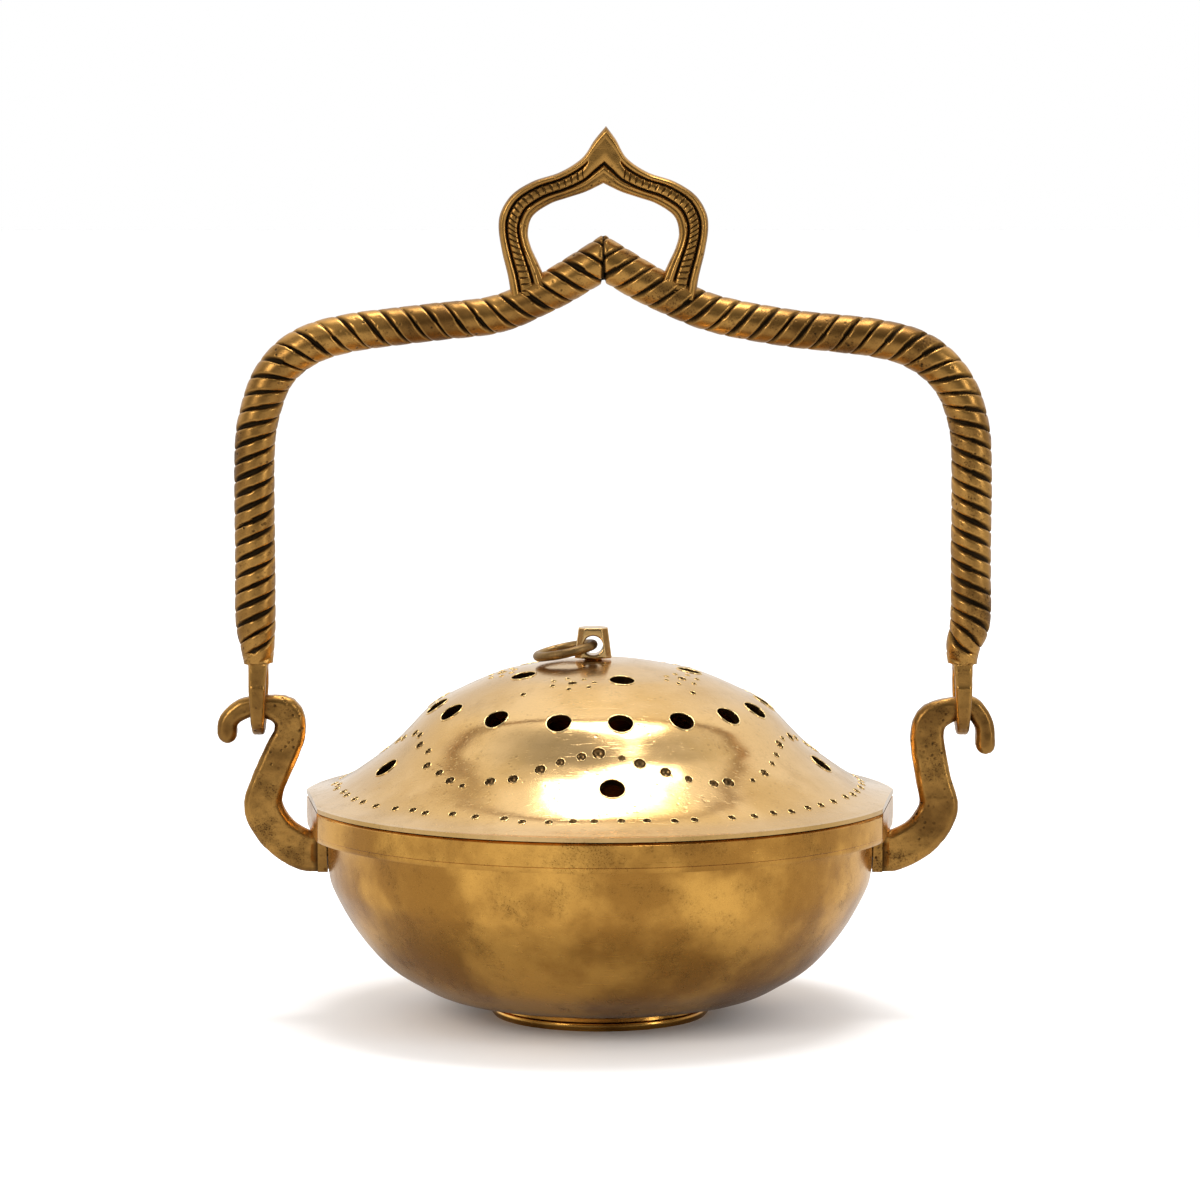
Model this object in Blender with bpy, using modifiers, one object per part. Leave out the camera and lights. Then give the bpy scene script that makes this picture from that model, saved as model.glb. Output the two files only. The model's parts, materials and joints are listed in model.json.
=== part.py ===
"""A hanging incense burner: a footed brass bowl, a pierced lid with a lifting ring, and a rope-twist bail.

The bowl stands on its foot ring with the origin at the centre of the foot's underside. X runs
through the two hooks that carry the bail, and Z is up. The bail swings on the hooks' crooks, the lid
lifts straight off the rim, and the small ring turns in the lug on top of the lid.
"""

import math

import bmesh
import bpy
from mathutils import Matrix, Vector

MM = 0.001
GAP = 0.3 * MM  # air between pieces that touch on the real object

# Bowl and foot
BOWL_RADIUS = 64.3 * MM  # outside, just under the rim band
BOWL_WALL = 2.2 * MM
BOWL_DEPTH = 40.8 * MM  # outside, from the band's underside to the flat under the bowl
BOWL_CURVE = (  # share of the radius, share of the depth, from the band down to the flat
    (1.0, 1.0),
    (0.994, 0.76),
    (0.966, 0.627),
    (0.891, 0.424),
    (0.792, 0.243),
    (0.690, 0.135),
    (0.585, 0.056),
    (0.400, 0.008),
)
FOOT_RADIUS = 25.7 * MM
FOOT_HEIGHT = 3.2 * MM
FOOT_WIDTH = 4.6 * MM

# Rim band, which the lid sits on
RIM_RADIUS = 70.0 * MM
RIM_HEIGHT = 6.8 * MM
RIM_LIP = 0.6 * MM  # the bead that overhangs at the band's underside
MOUTH_RADIUS = 62.0 * MM
FLAT_DEPTH = 2.0 * MM  # how far the flats at the hooks are filed into the band and the lid's edge
FLAT_TURN = math.radians(7.5)  # the flats face this far towards the front

# Lid
LID_EDGE = 1.0 * MM
LID_RISE = 32.0 * MM  # from the top of the edge to the crown
LID_WALL = 1.7 * MM
LID_CURVE = (  # share of the radius, share of the rise, from the crown to the edge
    (0.0, 1.0),
    (0.14, 0.985),
    (0.30, 0.918),
    (0.37, 0.872),
    (0.47, 0.775),
    (0.563, 0.663),
    (0.643, 0.488),
    (0.683, 0.398),
    (0.757, 0.263),
    (0.886, 0.078),
    (1.0, 0.0),
)
SMOKE_HOLE = 6.0 * MM
HOLE_RINGS = {  # share of the lid's radius, and each hand-marked hole's angle from the front in degrees
    "crown": (0.300, (14, 86, 158, 229, 302)),
    "shoulder": (0.551, (7, 29, 50, 69, 90, 111, 133, 155, 177, 199, 221, 242, 261, 279, 297, 322, 346)),
    "flare": (0.754, (3, 78, 147, 219, 290)),
}
SPIGOT_DEPTH = 4.0 * MM
SPIGOT_WALL = 1.5 * MM
SPIGOT_CLEARANCE = 0.6 * MM

# Lug and lifting ring on the lid
LUG_SHIFT = -1.6 * MM  # the lug stands a little off the lid's axis
LUG_BASE = 8.8 * MM
LUG_TOP = 6.9 * MM
LUG_DEPTH = 6.0 * MM
LUG_HEIGHT = 7.2 * MM
LUG_CHAMFER = 1.5 * MM
LUG_HOLE = 4.6 * MM
LUG_HOLE_HEIGHT = 3.1 * MM  # above the lug's underside
TENON = 4.0 * MM
TENON_HEAD = 7.4 * MM
TENON_HEAD_HEIGHT = 1.2 * MM
RING_RADIUS = 6.7 * MM  # to the middle of the wire
RING_WIRE = 2.2 * MM
RING_DROOP = math.radians(12.0)  # how far the ring lies below level at rest

# Hooks: each is one flat bar bent like a swan's neck
HOOK_THICKNESS = 5.2 * MM
HOOK_CHAMFER = 1.1 * MM
CROOK_HEIGHT = 5.0 * MM  # the bar's height where the bail's eye rides
PIVOT_HEIGHT = 22.1 * MM  # of the hinge line above the rim
PIVOT_REACH = {-1: 10.3 * MM, 1: 15.2 * MM}  # of the crook beyond the rim, left and right
TIP_REACH = {-1: 7.4 * MM, 1: 5.5 * MM}  # of the crook's end beyond the eye
TIP_DROP = {-1: 6.4 * MM, 1: 9.0 * MM}  # of the crook's end below the hinge line
NECK_BEND = {  # where each neck runs: (back from the eye, below the hinge line, width)
    -1: ((5.6 * MM, 10.4 * MM, 8.2 * MM), (7.4 * MM, 5.7 * MM, 7.5 * MM), (6.2 * MM, 1.2 * MM, 7.3 * MM)),
    1: ((7.8 * MM, 11.0 * MM, 8.2 * MM), (8.2 * MM, 6.3 * MM, 7.9 * MM), (6.8 * MM, 2.6 * MM, 7.2 * MM)),
}
BELLY_REACH = {-1: 9.3 * MM, 1: 9.8 * MM}  # of the hook's lower bend beyond the rim
PAD_PROUD = 2.1 * MM  # how far the pad stands out from the bowl
PAD_WIDTH = 9.0 * MM
PAD_HEIGHT = 9.6 * MM
ROOT_HEIGHT = 9.8 * MM
SCREW = 3.0 * MM
SCREW_DEPTH = 7.0 * MM  # into the hook
SCREW_HEAD = 6.0 * MM
SCREW_HEAD_HEIGHT = 2.2 * MM
SCREW_SLOT = 1.2 * MM
SCREW_SLOT_DEPTH = 1.0 * MM

# Bail
ROPE = 9.5 * MM  # over the twist
EYE_HALF_SLOT = 3.8 * MM
EYE_WALL = 3.0 * MM
EYE_SLOT_RISE = 5.2 * MM  # how far the slot runs up from the hinge line
EYE_TOP_THICKNESS = 4.8 * MM  # along X
EYE_FOOT_THICKNESS = 3.0 * MM
EYE_CHAMFER = 0.6 * MM
NECK = 7.0 * MM  # the arm's diameter where it grows out of the eye
BAIL_RISE = 104.7 * MM  # of the arms' meeting point above the hinge line
PEAK_SHIFT = 0.8 * MM  # the meeting point stands a little off the bowl's axis
LEG_SPLAY = {-1: 0.6 * MM, 1: 1.8 * MM}  # of each leg outwards from its eye
SHOULDER_SAG = {-1: 0.0, 1: 1.2 * MM}  # the right arm's shoulder is bent a little lower
LOOP_HALF_WIDTH = 24.4 * MM
LOOP_RISE = 31.2 * MM  # of the tip above the arms' meeting point
LOOP_WALL = 6.8 * MM
LOOP_LEAN = 0.6 * MM  # how far the pointed tip leans to the right
LEAN_LENGTH = 12.0 * MM
LOOP_THICKNESS = 7.4 * MM
LOOP_FOOT = 3.0 * MM  # how far the loop's feet run on below the arms' middle lines
LOOP_CHAMFER = 0.9 * MM

TURNS = 72  # sides of the large turned pieces
FINE_TURNS = 24  # sides of the small ones
TIP_SIDES = 6  # of the half round at the hook's end

BRASS = {
    "polished": ((0.78, 0.55, 0.24, 1.0), 0.22),
    "bowl": ((0.60, 0.38, 0.13, 1.0), 0.30),
    "aged": ((0.36, 0.22, 0.07, 1.0), 0.42),
    "dull": ((0.30, 0.20, 0.09, 1.0), 0.50),
}

# Heights that follow from the sizes above
BAND_UNDERSIDE = FOOT_HEIGHT + BOWL_DEPTH
RIM_TOP = BAND_UNDERSIDE + RIM_HEIGHT
LID_SEAT = RIM_TOP + GAP
LID_TOP = LID_SEAT + LID_EDGE + LID_RISE
PIVOT_Z = RIM_TOP + PIVOT_HEIGHT
PAD_FACE = BOWL_RADIUS + PAD_PROUD
ROOT_FACE = PAD_FACE + GAP
ROOT_TOP = BAND_UNDERSIDE - 0.5 * MM
ROOT_Z = ROOT_TOP - ROOT_HEIGHT / 2
PEAK_Z = PIVOT_Z + BAIL_RISE
LUG_SEAT = LID_TOP + GAP
LUG_HOLE_Z = LUG_SEAT + LUG_HOLE_HEIGHT
SIDES = {-1: "left", 1: "right"}


def clear_scene():
    for old in list(bpy.data.objects):
        bpy.data.objects.remove(old, do_unlink=True)


def new_collection(name):
    made = bpy.data.collections.new(name)
    bpy.context.scene.collection.children.link(made)
    return made


def brass(name, finish):
    colour, roughness = BRASS[finish]
    made = bpy.data.materials.new(name + "_brass")
    made.use_nodes = True
    shader = made.node_tree.nodes["Principled BSDF"]
    shader.inputs["Base Color"].default_value = colour
    shader.inputs["Roughness"].default_value = roughness
    shader.inputs["Metallic"].default_value = 1.0
    return made


def finish_part(part, finish):
    """Gives the part its own material and smooth shading, and puts it with the other parts."""
    part.data.materials.clear()
    part.data.materials.append(brass(part.name, finish))
    if part.type == "MESH":
        part.data.shade_smooth()
        part.data.set_sharp_from_angle(angle=math.radians(35))
    PARTS.objects.link(part)
    return part


def make_cutter(cutter, group=None):
    """Hides the cutter from renders and puts it with the others, or in a group of its own."""
    cutter.hide_render = True
    cutter.display_type = "WIRE"
    (group or CUTTERS).objects.link(cutter)
    return cutter


def mesh_object(name, bm):
    mesh = bpy.data.meshes.new(name)
    bm.to_mesh(mesh)
    bm.free()
    return bpy.data.objects.new(name, mesh)


def boolean(part, operation, other):
    """Cuts or joins the other object, or every object of a collection."""
    modifier = part.modifiers.new(operation.title(), "BOOLEAN")
    modifier.operation = operation
    modifier.solver = "EXACT"
    if isinstance(other, bpy.types.Collection):
        modifier.operand_type = "COLLECTION"
        modifier.collection = other
    else:
        modifier.object = other


def smooth_path(points, steps):
    """Points on a smooth line through the given ones, which may hold any number of values each."""
    first = [2 * a - b for a, b in zip(points[0], points[1])]
    last = [2 * a - b for a, b in zip(points[-1], points[-2])]
    known = [first, *points, last]
    path = []
    for before, start, end, after in zip(known, known[1:], known[2:], known[3:]):
        for step in range(steps):
            t = step / steps
            path.append(
                tuple(
                    0.5 * (2 * b + (c - a) * t + (2 * a - 5 * b + 4 * c - d) * t**2
                           + (3 * b - a - 3 * c + d) * t**3)
                    for a, b, c, d in zip(before, start, end, after)
                )
            )
    return [*path, tuple(points[-1])]


def offset_path(path, distance):
    """The line moved sideways, to its left as it runs, by one distance or by one for each point."""
    moved = []
    for i, (x, z) in enumerate(path):
        ahead = path[min(i + 1, len(path) - 1)]
        behind = path[max(i - 1, 0)]
        along = Vector((ahead[0] - behind[0], ahead[1] - behind[1])).normalized()
        step = distance[i] if isinstance(distance, (list, tuple)) else distance
        moved.append((x - along.y * step, z + along.x * step))
    return moved


def without_folds(edge, path, least):
    """An offset edge without the points where the inside of a bend crowds or folds it back."""
    kept = [edge[0]]
    for i in range(1, len(edge)):
        along = (Vector(path[min(i + 1, len(path) - 1)]) - Vector(path[i - 1])).normalized()
        if (Vector(edge[i]) - Vector(kept[-1])).dot(along) > least:
            kept.append(edge[i])
    return kept


def height_at(path, radius):
    """The height of a turned profile where it passes this radius."""
    for (r1, z1), (r2, z2) in zip(path, path[1:]):
        if min(r1, r2) <= radius <= max(r1, r2) and r1 != r2:
            return z1 + (z2 - z1) * (radius - r1) / (r2 - r1)
    return path[-1][1]


def turned(name, profile, turns, closed=False):
    """A profile of (radius, height) turned about Z. An open one starts and ends on the axis."""
    bm = bmesh.new()
    corners = [bm.verts.new((r, 0, z)) for r, z in profile]
    for start, end in zip(corners, corners[1:]):
        bm.edges.new((start, end))
    if closed:
        bm.edges.new((corners[-1], corners[0]))
    part = mesh_object(name, bm)
    screw = part.modifiers.new("Turn", "SCREW")
    screw.steps = turns
    screw.render_steps = turns
    screw.use_merge_vertices = True
    screw.merge_threshold = 1e-6
    screw.use_smooth_shade = True
    return part


def plate(name, outlines, thickness, chamfer):
    """Flat plate in the XZ plane with chamfered edges, from closed outlines of (x, z)."""
    curve = bpy.data.curves.new(name, "CURVE")
    curve.dimensions = "2D"
    curve.fill_mode = "BOTH"
    curve.extrude = thickness / 2
    for outline in outlines:
        spline = curve.splines.new("POLY")
        spline.points.add(len(outline) - 1)
        for point, (x, z) in zip(spline.points, outline):
            point.co = (x, z, 0, 1)
        spline.use_cyclic_u = True
    flat = bpy.data.objects.new(name, curve)
    flat.rotation_euler = (math.pi / 2, 0, 0)
    made = as_mesh(flat)
    bm = bmesh.new()
    bm.from_mesh(made.data)
    bmesh.ops.dissolve_limit(
        bm, angle_limit=math.radians(0.5), verts=bm.verts, edges=bm.edges
    )
    rims = [e for e in bm.edges if e.calc_face_angle(0) > math.radians(60)]
    rims = [e for e in rims if abs(e.verts[0].co.y - e.verts[1].co.y) < chamfer]
    bmesh.ops.bevel(
        bm,
        geom=rims,
        offset=chamfer,
        segments=1,
        affect="EDGES",
        profile=0.5,
        material=-1,
    )
    bm.to_mesh(made.data)
    bm.free()
    return made


def tube_curve(name, route, radii, sides):
    """A round bar along a route in the XZ plane, with its own radius at each point."""
    curve = bpy.data.curves.new(name, "CURVE")
    curve.dimensions = "3D"
    curve.bevel_depth = 1.0
    curve.bevel_resolution = sides // 2 - 2
    curve.use_fill_caps = True
    spline = curve.splines.new("POLY")
    spline.points.add(len(route) - 1)
    for point, (x, z), radius in zip(spline.points, route, radii):
        point.co = (x, 0, z, 1)
        point.radius = radius
    return bpy.data.objects.new(name, curve)


def as_mesh(curve_object):
    """The curve made a welded mesh in its own place, so that a Boolean can take it."""
    name = curve_object.name
    bpy.context.scene.collection.objects.link(curve_object)
    bpy.context.view_layer.update()
    graph = bpy.context.evaluated_depsgraph_get()
    mesh = bpy.data.meshes.new_from_object(curve_object.evaluated_get(graph))
    mesh.transform(curve_object.matrix_world)
    bpy.data.objects.remove(curve_object, do_unlink=True)
    bm = bmesh.new()
    bm.from_mesh(mesh)
    bmesh.ops.remove_doubles(bm, verts=bm.verts, dist=1e-6)
    bmesh.ops.recalc_face_normals(bm, faces=bm.faces)
    if bm.calc_volume(signed=True) < 0:
        bmesh.ops.reverse_faces(bm, faces=bm.faces)
    bm.to_mesh(mesh)
    bm.free()
    mesh.name = name
    return bpy.data.objects.new(name, mesh)


def cylinder(name, radius, start, end, sides=FINE_TURNS):
    """A closed cylinder between two points."""
    axis = Vector(end) - Vector(start)
    bm = bmesh.new()
    bmesh.ops.create_cone(
        bm,
        cap_ends=True,
        segments=sides,
        radius1=radius,
        radius2=radius,
        depth=axis.length,
        matrix=Matrix.Translation((Vector(start) + Vector(end)) / 2)
        @ axis.to_track_quat("Z", "Y").to_matrix().to_4x4(),
    )
    return mesh_object(name, bm)


def block(name, low, high):
    """A box between its lowest and highest corners."""
    bm = bmesh.new()
    size = Vector(high) - Vector(low)
    middle = (Vector(high) + Vector(low)) / 2
    matrix = Matrix.Translation(middle) @ Matrix.Diagonal((*size, 1.0))
    bmesh.ops.create_cube(bm, size=1.0, matrix=matrix)
    return mesh_object(name, bm)


def flat_cutters():
    """Two blocks whose faces file the flats into the rim band and the edge of the lid."""
    flats = new_collection("flat_cutters")
    reach = RIM_RADIUS - FLAT_DEPTH
    for side, word in SIDES.items():
        cutter = block(
            f"flat_cutter_{word}",
            (reach, -RIM_RADIUS / 2, BAND_UNDERSIDE - RIM_LIP),
            (reach + RIM_RADIUS / 2, RIM_RADIUS / 2, LID_TOP),
        )
        angle = -FLAT_TURN if side > 0 else math.pi + FLAT_TURN
        cutter.rotation_euler = (0, 0, angle)
        make_cutter(cutter, flats)
    return flats


def bowl_outside():
    points = [
        (share * BOWL_RADIUS, FOOT_HEIGHT + depth * BOWL_DEPTH)
        for share, depth in BOWL_CURVE
    ]
    return smooth_path(points, 3)


def bowl_inside():
    """The inner face, from the mouth down, one wall inside the outer one."""
    inner = offset_path(bowl_outside(), -BOWL_WALL)
    return [(min(r, MOUTH_RADIUS), z) for r, z in inner]


def make_bowl():
    outside = bowl_outside()
    inside = bowl_inside()
    floor = FOOT_HEIGHT + BOWL_WALL
    profile = [
        (0, floor),
        *[(r, max(z, floor)) for r, z in reversed(inside)],
        (MOUTH_RADIUS, RIM_TOP),
        (RIM_RADIUS, RIM_TOP),
        (RIM_RADIUS, BAND_UNDERSIDE + RIM_LIP),
        (RIM_RADIUS - RIM_LIP, BAND_UNDERSIDE),
        *outside,
        (0, FOOT_HEIGHT),
    ]
    bowl = turned("bowl", profile, TURNS)
    boolean(bowl, "DIFFERENCE", FLATS)
    for side, word in SIDES.items():
        hole = cylinder(
            f"bowl_screw_hole_{word}",
            SCREW / 2 + GAP,
            (side * BOWL_RADIUS * 0.8, 0, ROOT_Z),
            (side * BOWL_RADIUS * 1.1, 0, ROOT_Z),
        )
        boolean(bowl, "DIFFERENCE", make_cutter(hole))
    return finish_part(bowl, "bowl")


def make_foot_ring():
    top = FOOT_HEIGHT - GAP
    bead = 0.6 * MM
    outer, inner = FOOT_RADIUS, FOOT_RADIUS - FOOT_WIDTH
    profile = [
        (inner, top),
        (outer - bead, top),
        (outer - bead, top * 0.72),
        (outer, top * 0.6),
        (outer, bead),
        (outer - bead, 0),
        (inner + bead, 0),
        (inner, bead),
    ]
    return finish_part(turned("foot_ring", profile, TURNS * 2 // 3, closed=True), "bowl")


def make_pad(side, word):
    """The block brazed to the bowl under the band, with a flat face for the hook."""
    top = BAND_UNDERSIDE - GAP
    pad = block(
        f"hook_pad_{word}",
        (BOWL_RADIUS * 0.85, -PAD_WIDTH / 2, top - PAD_HEIGHT),
        (PAD_FACE, PAD_WIDTH / 2, top),
    )
    if side < 0:
        pad.rotation_euler = (0, 0, math.pi)
    outside = [(r + GAP, z) for r, z in bowl_outside()]
    core = [(0, BAND_UNDERSIDE + MM), (outside[0][0], BAND_UNDERSIDE + MM), *outside, (0, 0)]
    boolean(pad, "DIFFERENCE", make_cutter(turned(f"pad_core_{word}", core, TURNS)))
    hole = cylinder(
        f"pad_screw_hole_{word}",
        SCREW / 2 + GAP,
        (side * BOWL_RADIUS * 0.8, 0, ROOT_Z),
        (side * (PAD_FACE + MM), 0, ROOT_Z),
    )
    boolean(pad, "DIFFERENCE", make_cutter(hole))
    return finish_part(pad, "bowl")


def hook_line(side):
    """The hook's middle line as (reach, height, width), from its root on the pad to its tip."""
    crook = RIM_RADIUS + PIVOT_REACH[side]
    belly = RIM_RADIUS + BELLY_REACH[side]
    root, low, top = ROOT_FACE, ROOT_Z, PIVOT_Z
    return [
        (root, low, ROOT_HEIGHT),
        (root + 3.4 * MM, low + 0.3 * MM, 9.6 * MM),
        (belly - 3.4 * MM, low + 4.2 * MM, 9.4 * MM),
        (belly, low + 10.2 * MM, 9.3 * MM),
        (belly - 1.0 * MM, low + 15.8 * MM, 8.4 * MM),
        *[(crook - back, top - drop, width) for back, drop, width in NECK_BEND[side]],
        (crook, top, CROOK_HEIGHT),
        (crook + TIP_REACH[side] * 0.5, top - 0.6 * MM, CROOK_HEIGHT),
        (crook + TIP_REACH[side] * 0.95, top - TIP_DROP[side] * 0.5, CROOK_HEIGHT * 0.92),
        (crook + TIP_REACH[side], top - TIP_DROP[side], 4.8 * MM),
    ]


def make_hook(side, word):
    line = smooth_path(hook_line(side), 4)
    path = [(reach, height) for reach, height, _ in line]
    halves = [width / 2 for _, _, width in line]
    upper = offset_path(path, halves)
    lower = offset_path(path, [-half for half in halves])
    upper[0] = (ROOT_FACE, ROOT_TOP)
    lower[0] = (ROOT_FACE, ROOT_TOP - ROOT_HEIGHT)
    upper = without_folds(upper, path, HOOK_CHAMFER / 2)
    lower = without_folds(lower, path, HOOK_CHAMFER / 2)
    end, before = Vector(path[-1]), Vector(path[-2])
    onward, aside = (end - before).normalized() * halves[-1], Vector(upper[-1]) - end
    turns = [math.radians(90 - 180 * i / TIP_SIDES) for i in range(1, TIP_SIDES)]
    rounded = [tuple(end + aside * math.sin(turn) + onward * math.cos(turn)) for turn in turns]
    outline = [*upper, *rounded, *reversed(lower)]
    outline = [(side * reach, height) for reach, height in outline]
    hook = plate(f"hook_{word}", [outline], HOOK_THICKNESS, HOOK_CHAMFER)
    hole = cylinder(
        f"hook_screw_hole_{word}",
        SCREW / 2 + GAP,
        (side * (ROOT_FACE - MM), 0, ROOT_Z),
        (side * (ROOT_FACE + SCREW_DEPTH + GAP), 0, ROOT_Z),
    )
    boolean(hook, "DIFFERENCE", make_cutter(hole))
    return finish_part(hook, "aged")


def make_screw(side, word):
    """The screw that holds the hook, put in from inside the bowl."""
    seat = height_at([(z, r) for r, z in reversed(bowl_inside())], ROOT_Z) - 2 * GAP
    profile = [
        (0, ROOT_FACE + SCREW_DEPTH),
        (SCREW / 2, ROOT_FACE + SCREW_DEPTH),
        (SCREW / 2, seat),
        (SCREW_HEAD / 2, seat),
        (SCREW_HEAD / 2, seat - SCREW_HEAD_HEIGHT * 0.6),
        (SCREW_HEAD * 0.3, seat - SCREW_HEAD_HEIGHT),
        (0, seat - SCREW_HEAD_HEIGHT),
    ]
    screw = turned(f"hook_screw_{word}", profile, FINE_TURNS)
    screw.location = (0, 0, ROOT_Z)
    screw.rotation_euler = (0, side * math.pi / 2, 0)
    slot = block(
        f"screw_slot_{word}",
        (-SCREW_SLOT / 2, -SCREW_HEAD, 0),
        (SCREW_SLOT / 2, SCREW_HEAD, SCREW_SLOT_DEPTH + GAP),
    )
    slot.location = (side * (seat - SCREW_HEAD_HEIGHT - GAP), 0, ROOT_Z)
    slot.rotation_euler = (0, side * math.pi / 2, 0)
    boolean(screw, "DIFFERENCE", make_cutter(slot))
    return finish_part(screw, "dull")


def lid_outside():
    base = LID_SEAT + LID_EDGE
    points = [(share * RIM_RADIUS, base + rise * LID_RISE) for share, rise in LID_CURVE]
    return smooth_path(points, 2)


def lid_inside():
    """The lid's inner face, from the crown out to where it meets the flat seat."""
    inner = offset_path(lid_outside(), -LID_WALL)
    limit = MOUTH_RADIUS - SPIGOT_CLEARANCE - SPIGOT_WALL - MM
    return [(max(r, 0), z) for r, z in inner if r < limit and z > LID_SEAT]


def make_lid():
    inside = lid_inside()
    inside[0] = (0, inside[0][1])
    seat_start = inside[-1][0]
    profile = [
        *lid_outside(),
        (RIM_RADIUS, LID_SEAT),
        (seat_start, LID_SEAT),
        *reversed(inside),
    ]
    lid = turned("lid", profile, TURNS)
    boolean(lid, "DIFFERENCE", FLATS)
    holes = new_collection("smoke_holes")
    outside = lid_outside()
    for ring, (share, marks) in HOLE_RINGS.items():
        radius = share * RIM_RADIUS
        height = height_at(outside, radius)
        slope = (height_at(outside, radius + MM) - height_at(outside, radius - MM)) / (2 * MM)
        for mark in marks:
            angle = math.radians(mark - 90)
            away = Vector((math.cos(angle), math.sin(angle), 0))
            normal = (Vector((0, 0, 1)) - away * slope).normalized()
            middle = away * radius + Vector((0, 0, height))
            hole = cylinder(
                f"{ring}_hole_{mark}",
                SMOKE_HOLE / 2,
                middle - normal * 4 * LID_WALL,
                middle + normal * 2 * LID_WALL,
                sides=12,
            )
            make_cutter(hole, holes)
    tenon_hole = cylinder(
        "tenon_hole",
        TENON / 2 + GAP,
        (LUG_SHIFT, 0, LID_TOP - 4 * LID_WALL),
        (LUG_SHIFT, 0, LID_TOP + LID_WALL),
        sides=12,
    )
    make_cutter(tenon_hole, holes)
    boolean(lid, "DIFFERENCE", holes)
    return finish_part(lid, "polished")


def make_spigot():
    """The ring soldered under the lid that keeps it centred in the bowl's mouth."""
    outer = MOUTH_RADIUS - SPIGOT_CLEARANCE
    inner = outer - SPIGOT_WALL
    top, foot = LID_SEAT - GAP, LID_SEAT - GAP - SPIGOT_DEPTH
    profile = [(inner, top), (outer, top), (outer, foot), (inner, foot)]
    return finish_part(turned("lid_spigot", profile, TURNS, closed=True), "dull")


def make_lug():
    """The tapered square lug, with the tenon that is peened over inside the lid."""
    bm = bmesh.new()
    size = Matrix.Diagonal((LUG_BASE, LUG_DEPTH, LUG_HEIGHT, 1.0))
    middle = Matrix.Translation((LUG_SHIFT, 0, LUG_SEAT + LUG_HEIGHT / 2))
    bmesh.ops.create_cube(bm, size=1.0, matrix=middle @ size)
    top = [v for v in bm.verts if v.co.z > LUG_SEAT + LUG_HEIGHT / 2]
    for corner in top:
        corner.co.x = LUG_SHIFT + (corner.co.x - LUG_SHIFT) * LUG_TOP / LUG_BASE
    upright = [e for e in bm.edges if abs(e.verts[0].co.z - e.verts[1].co.z) > LUG_HEIGHT / 2]
    bmesh.ops.bevel(
        bm, geom=upright, offset=LUG_CHAMFER, segments=1, affect="EDGES", profile=0.5, material=-1
    )
    lug = mesh_object("lid_lug", bm)
    head_top = lid_inside()[0][1] - GAP
    tenon = [
        (0, LUG_SEAT + MM),
        (TENON / 2, LUG_SEAT + MM),
        (TENON / 2, head_top),
        (TENON_HEAD / 2, head_top),
        (TENON_HEAD * 0.36, head_top - TENON_HEAD_HEIGHT),
        (0, head_top - TENON_HEAD_HEIGHT),
    ]
    peened = turned("tenon", tenon, FINE_TURNS)
    peened.location = (LUG_SHIFT, 0, 0)
    boolean(lug, "UNION", make_cutter(peened))
    bore = cylinder(
        "lug_bore",
        LUG_HOLE / 2,
        (LUG_SHIFT, -LUG_DEPTH, LUG_HOLE_Z),
        (LUG_SHIFT, LUG_DEPTH, LUG_HOLE_Z),
        sides=20,
    )
    boolean(lug, "DIFFERENCE", make_cutter(bore))
    return finish_part(lug, "polished")


def make_lid_ring():
    """The lifting ring. It hangs through the lug's hole and lies over to the left."""
    bpy.ops.mesh.primitive_torus_add(
        major_radius=RING_RADIUS,
        minor_radius=RING_WIRE / 2,
        major_segments=32,
        minor_segments=10,
        location=(0, 0, 0),
    )
    ring = bpy.context.object
    ring.name = "lid_ring"
    for owner in list(ring.users_collection):
        owner.objects.unlink(ring)
    ring.data.transform(Matrix.Translation((-RING_RADIUS, 0, 0)))
    ring.location = (LUG_SHIFT, 0, LUG_HOLE_Z)
    ring.rotation_euler = (0, -RING_DROOP, 0)
    return finish_part(ring, "dull")


def arm_line(side):
    """The arm's middle line as (x, z, diameter), from the eye up and over to the middle."""
    eye = side * (RIM_RADIUS + PIVOT_REACH[side])
    leg = eye + side * LEG_SPLAY[side]
    low, high = PIVOT_Z, PEAK_Z
    run = abs(leg) - PEAK_SHIFT * side
    top = high - SHOULDER_SAG[side]
    return [
        (eye, low + 10.2 * MM, NECK),
        (eye + side * 0.2 * MM, low + 14.5 * MM, ROPE * 0.86),
        (leg, low + 20.5 * MM, ROPE),
        (leg, low + (high - low) * 0.33, ROPE),
        (leg, high - 47.0 * MM, ROPE),
        (leg - side * 1.0 * MM, high - 37.0 * MM, ROPE),
        (leg - side * 4.6 * MM, top - 27.0 * MM, ROPE),
        (leg - side * 11.5 * MM, top - 20.5 * MM, ROPE),
        (leg - side * 22.0 * MM, top - 17.0 * MM, ROPE * 0.95),
        (PEAK_SHIFT + side * run * 0.50, top - 14.5 * MM, ROPE * 0.93),
        (PEAK_SHIFT + side * run * 0.31, high - 12.6 * MM, ROPE * 0.93),
        (PEAK_SHIFT + side * run * 0.19, high - 8.6 * MM, ROPE * 0.95),
        (PEAK_SHIFT + side * run * 0.08, high - 3.6 * MM, ROPE),
        (PEAK_SHIFT - side * 6.0 * MM, high + 4.3 * MM, ROPE),
    ]


def arm_tube(name, side, extra):
    line = smooth_path(arm_line(side), 3)
    route = [(x, z) for x, z, _ in line]
    radii = [diameter / 2 + extra for _, _, diameter in line]
    return as_mesh(tube_curve(name, route, radii, sides=12))


def cut_at_mitre(part, side):
    """Cuts off what runs past the plane where the two arms meet, and closes the cut."""
    bm = bmesh.new()
    bm.from_mesh(part.data)
    bmesh.ops.bisect_plane(
        bm,
        geom=[*bm.verts, *bm.edges, *bm.faces],
        plane_co=(PEAK_SHIFT + side * GAP / 2, 0, 0),
        plane_no=(-side, 0, 0),
        clear_outer=True,
    )
    bmesh.ops.holes_fill(bm, edges=bm.edges)
    bmesh.ops.recalc_face_normals(bm, faces=bm.faces)
    bm.to_mesh(part.data)
    bm.free()


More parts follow.
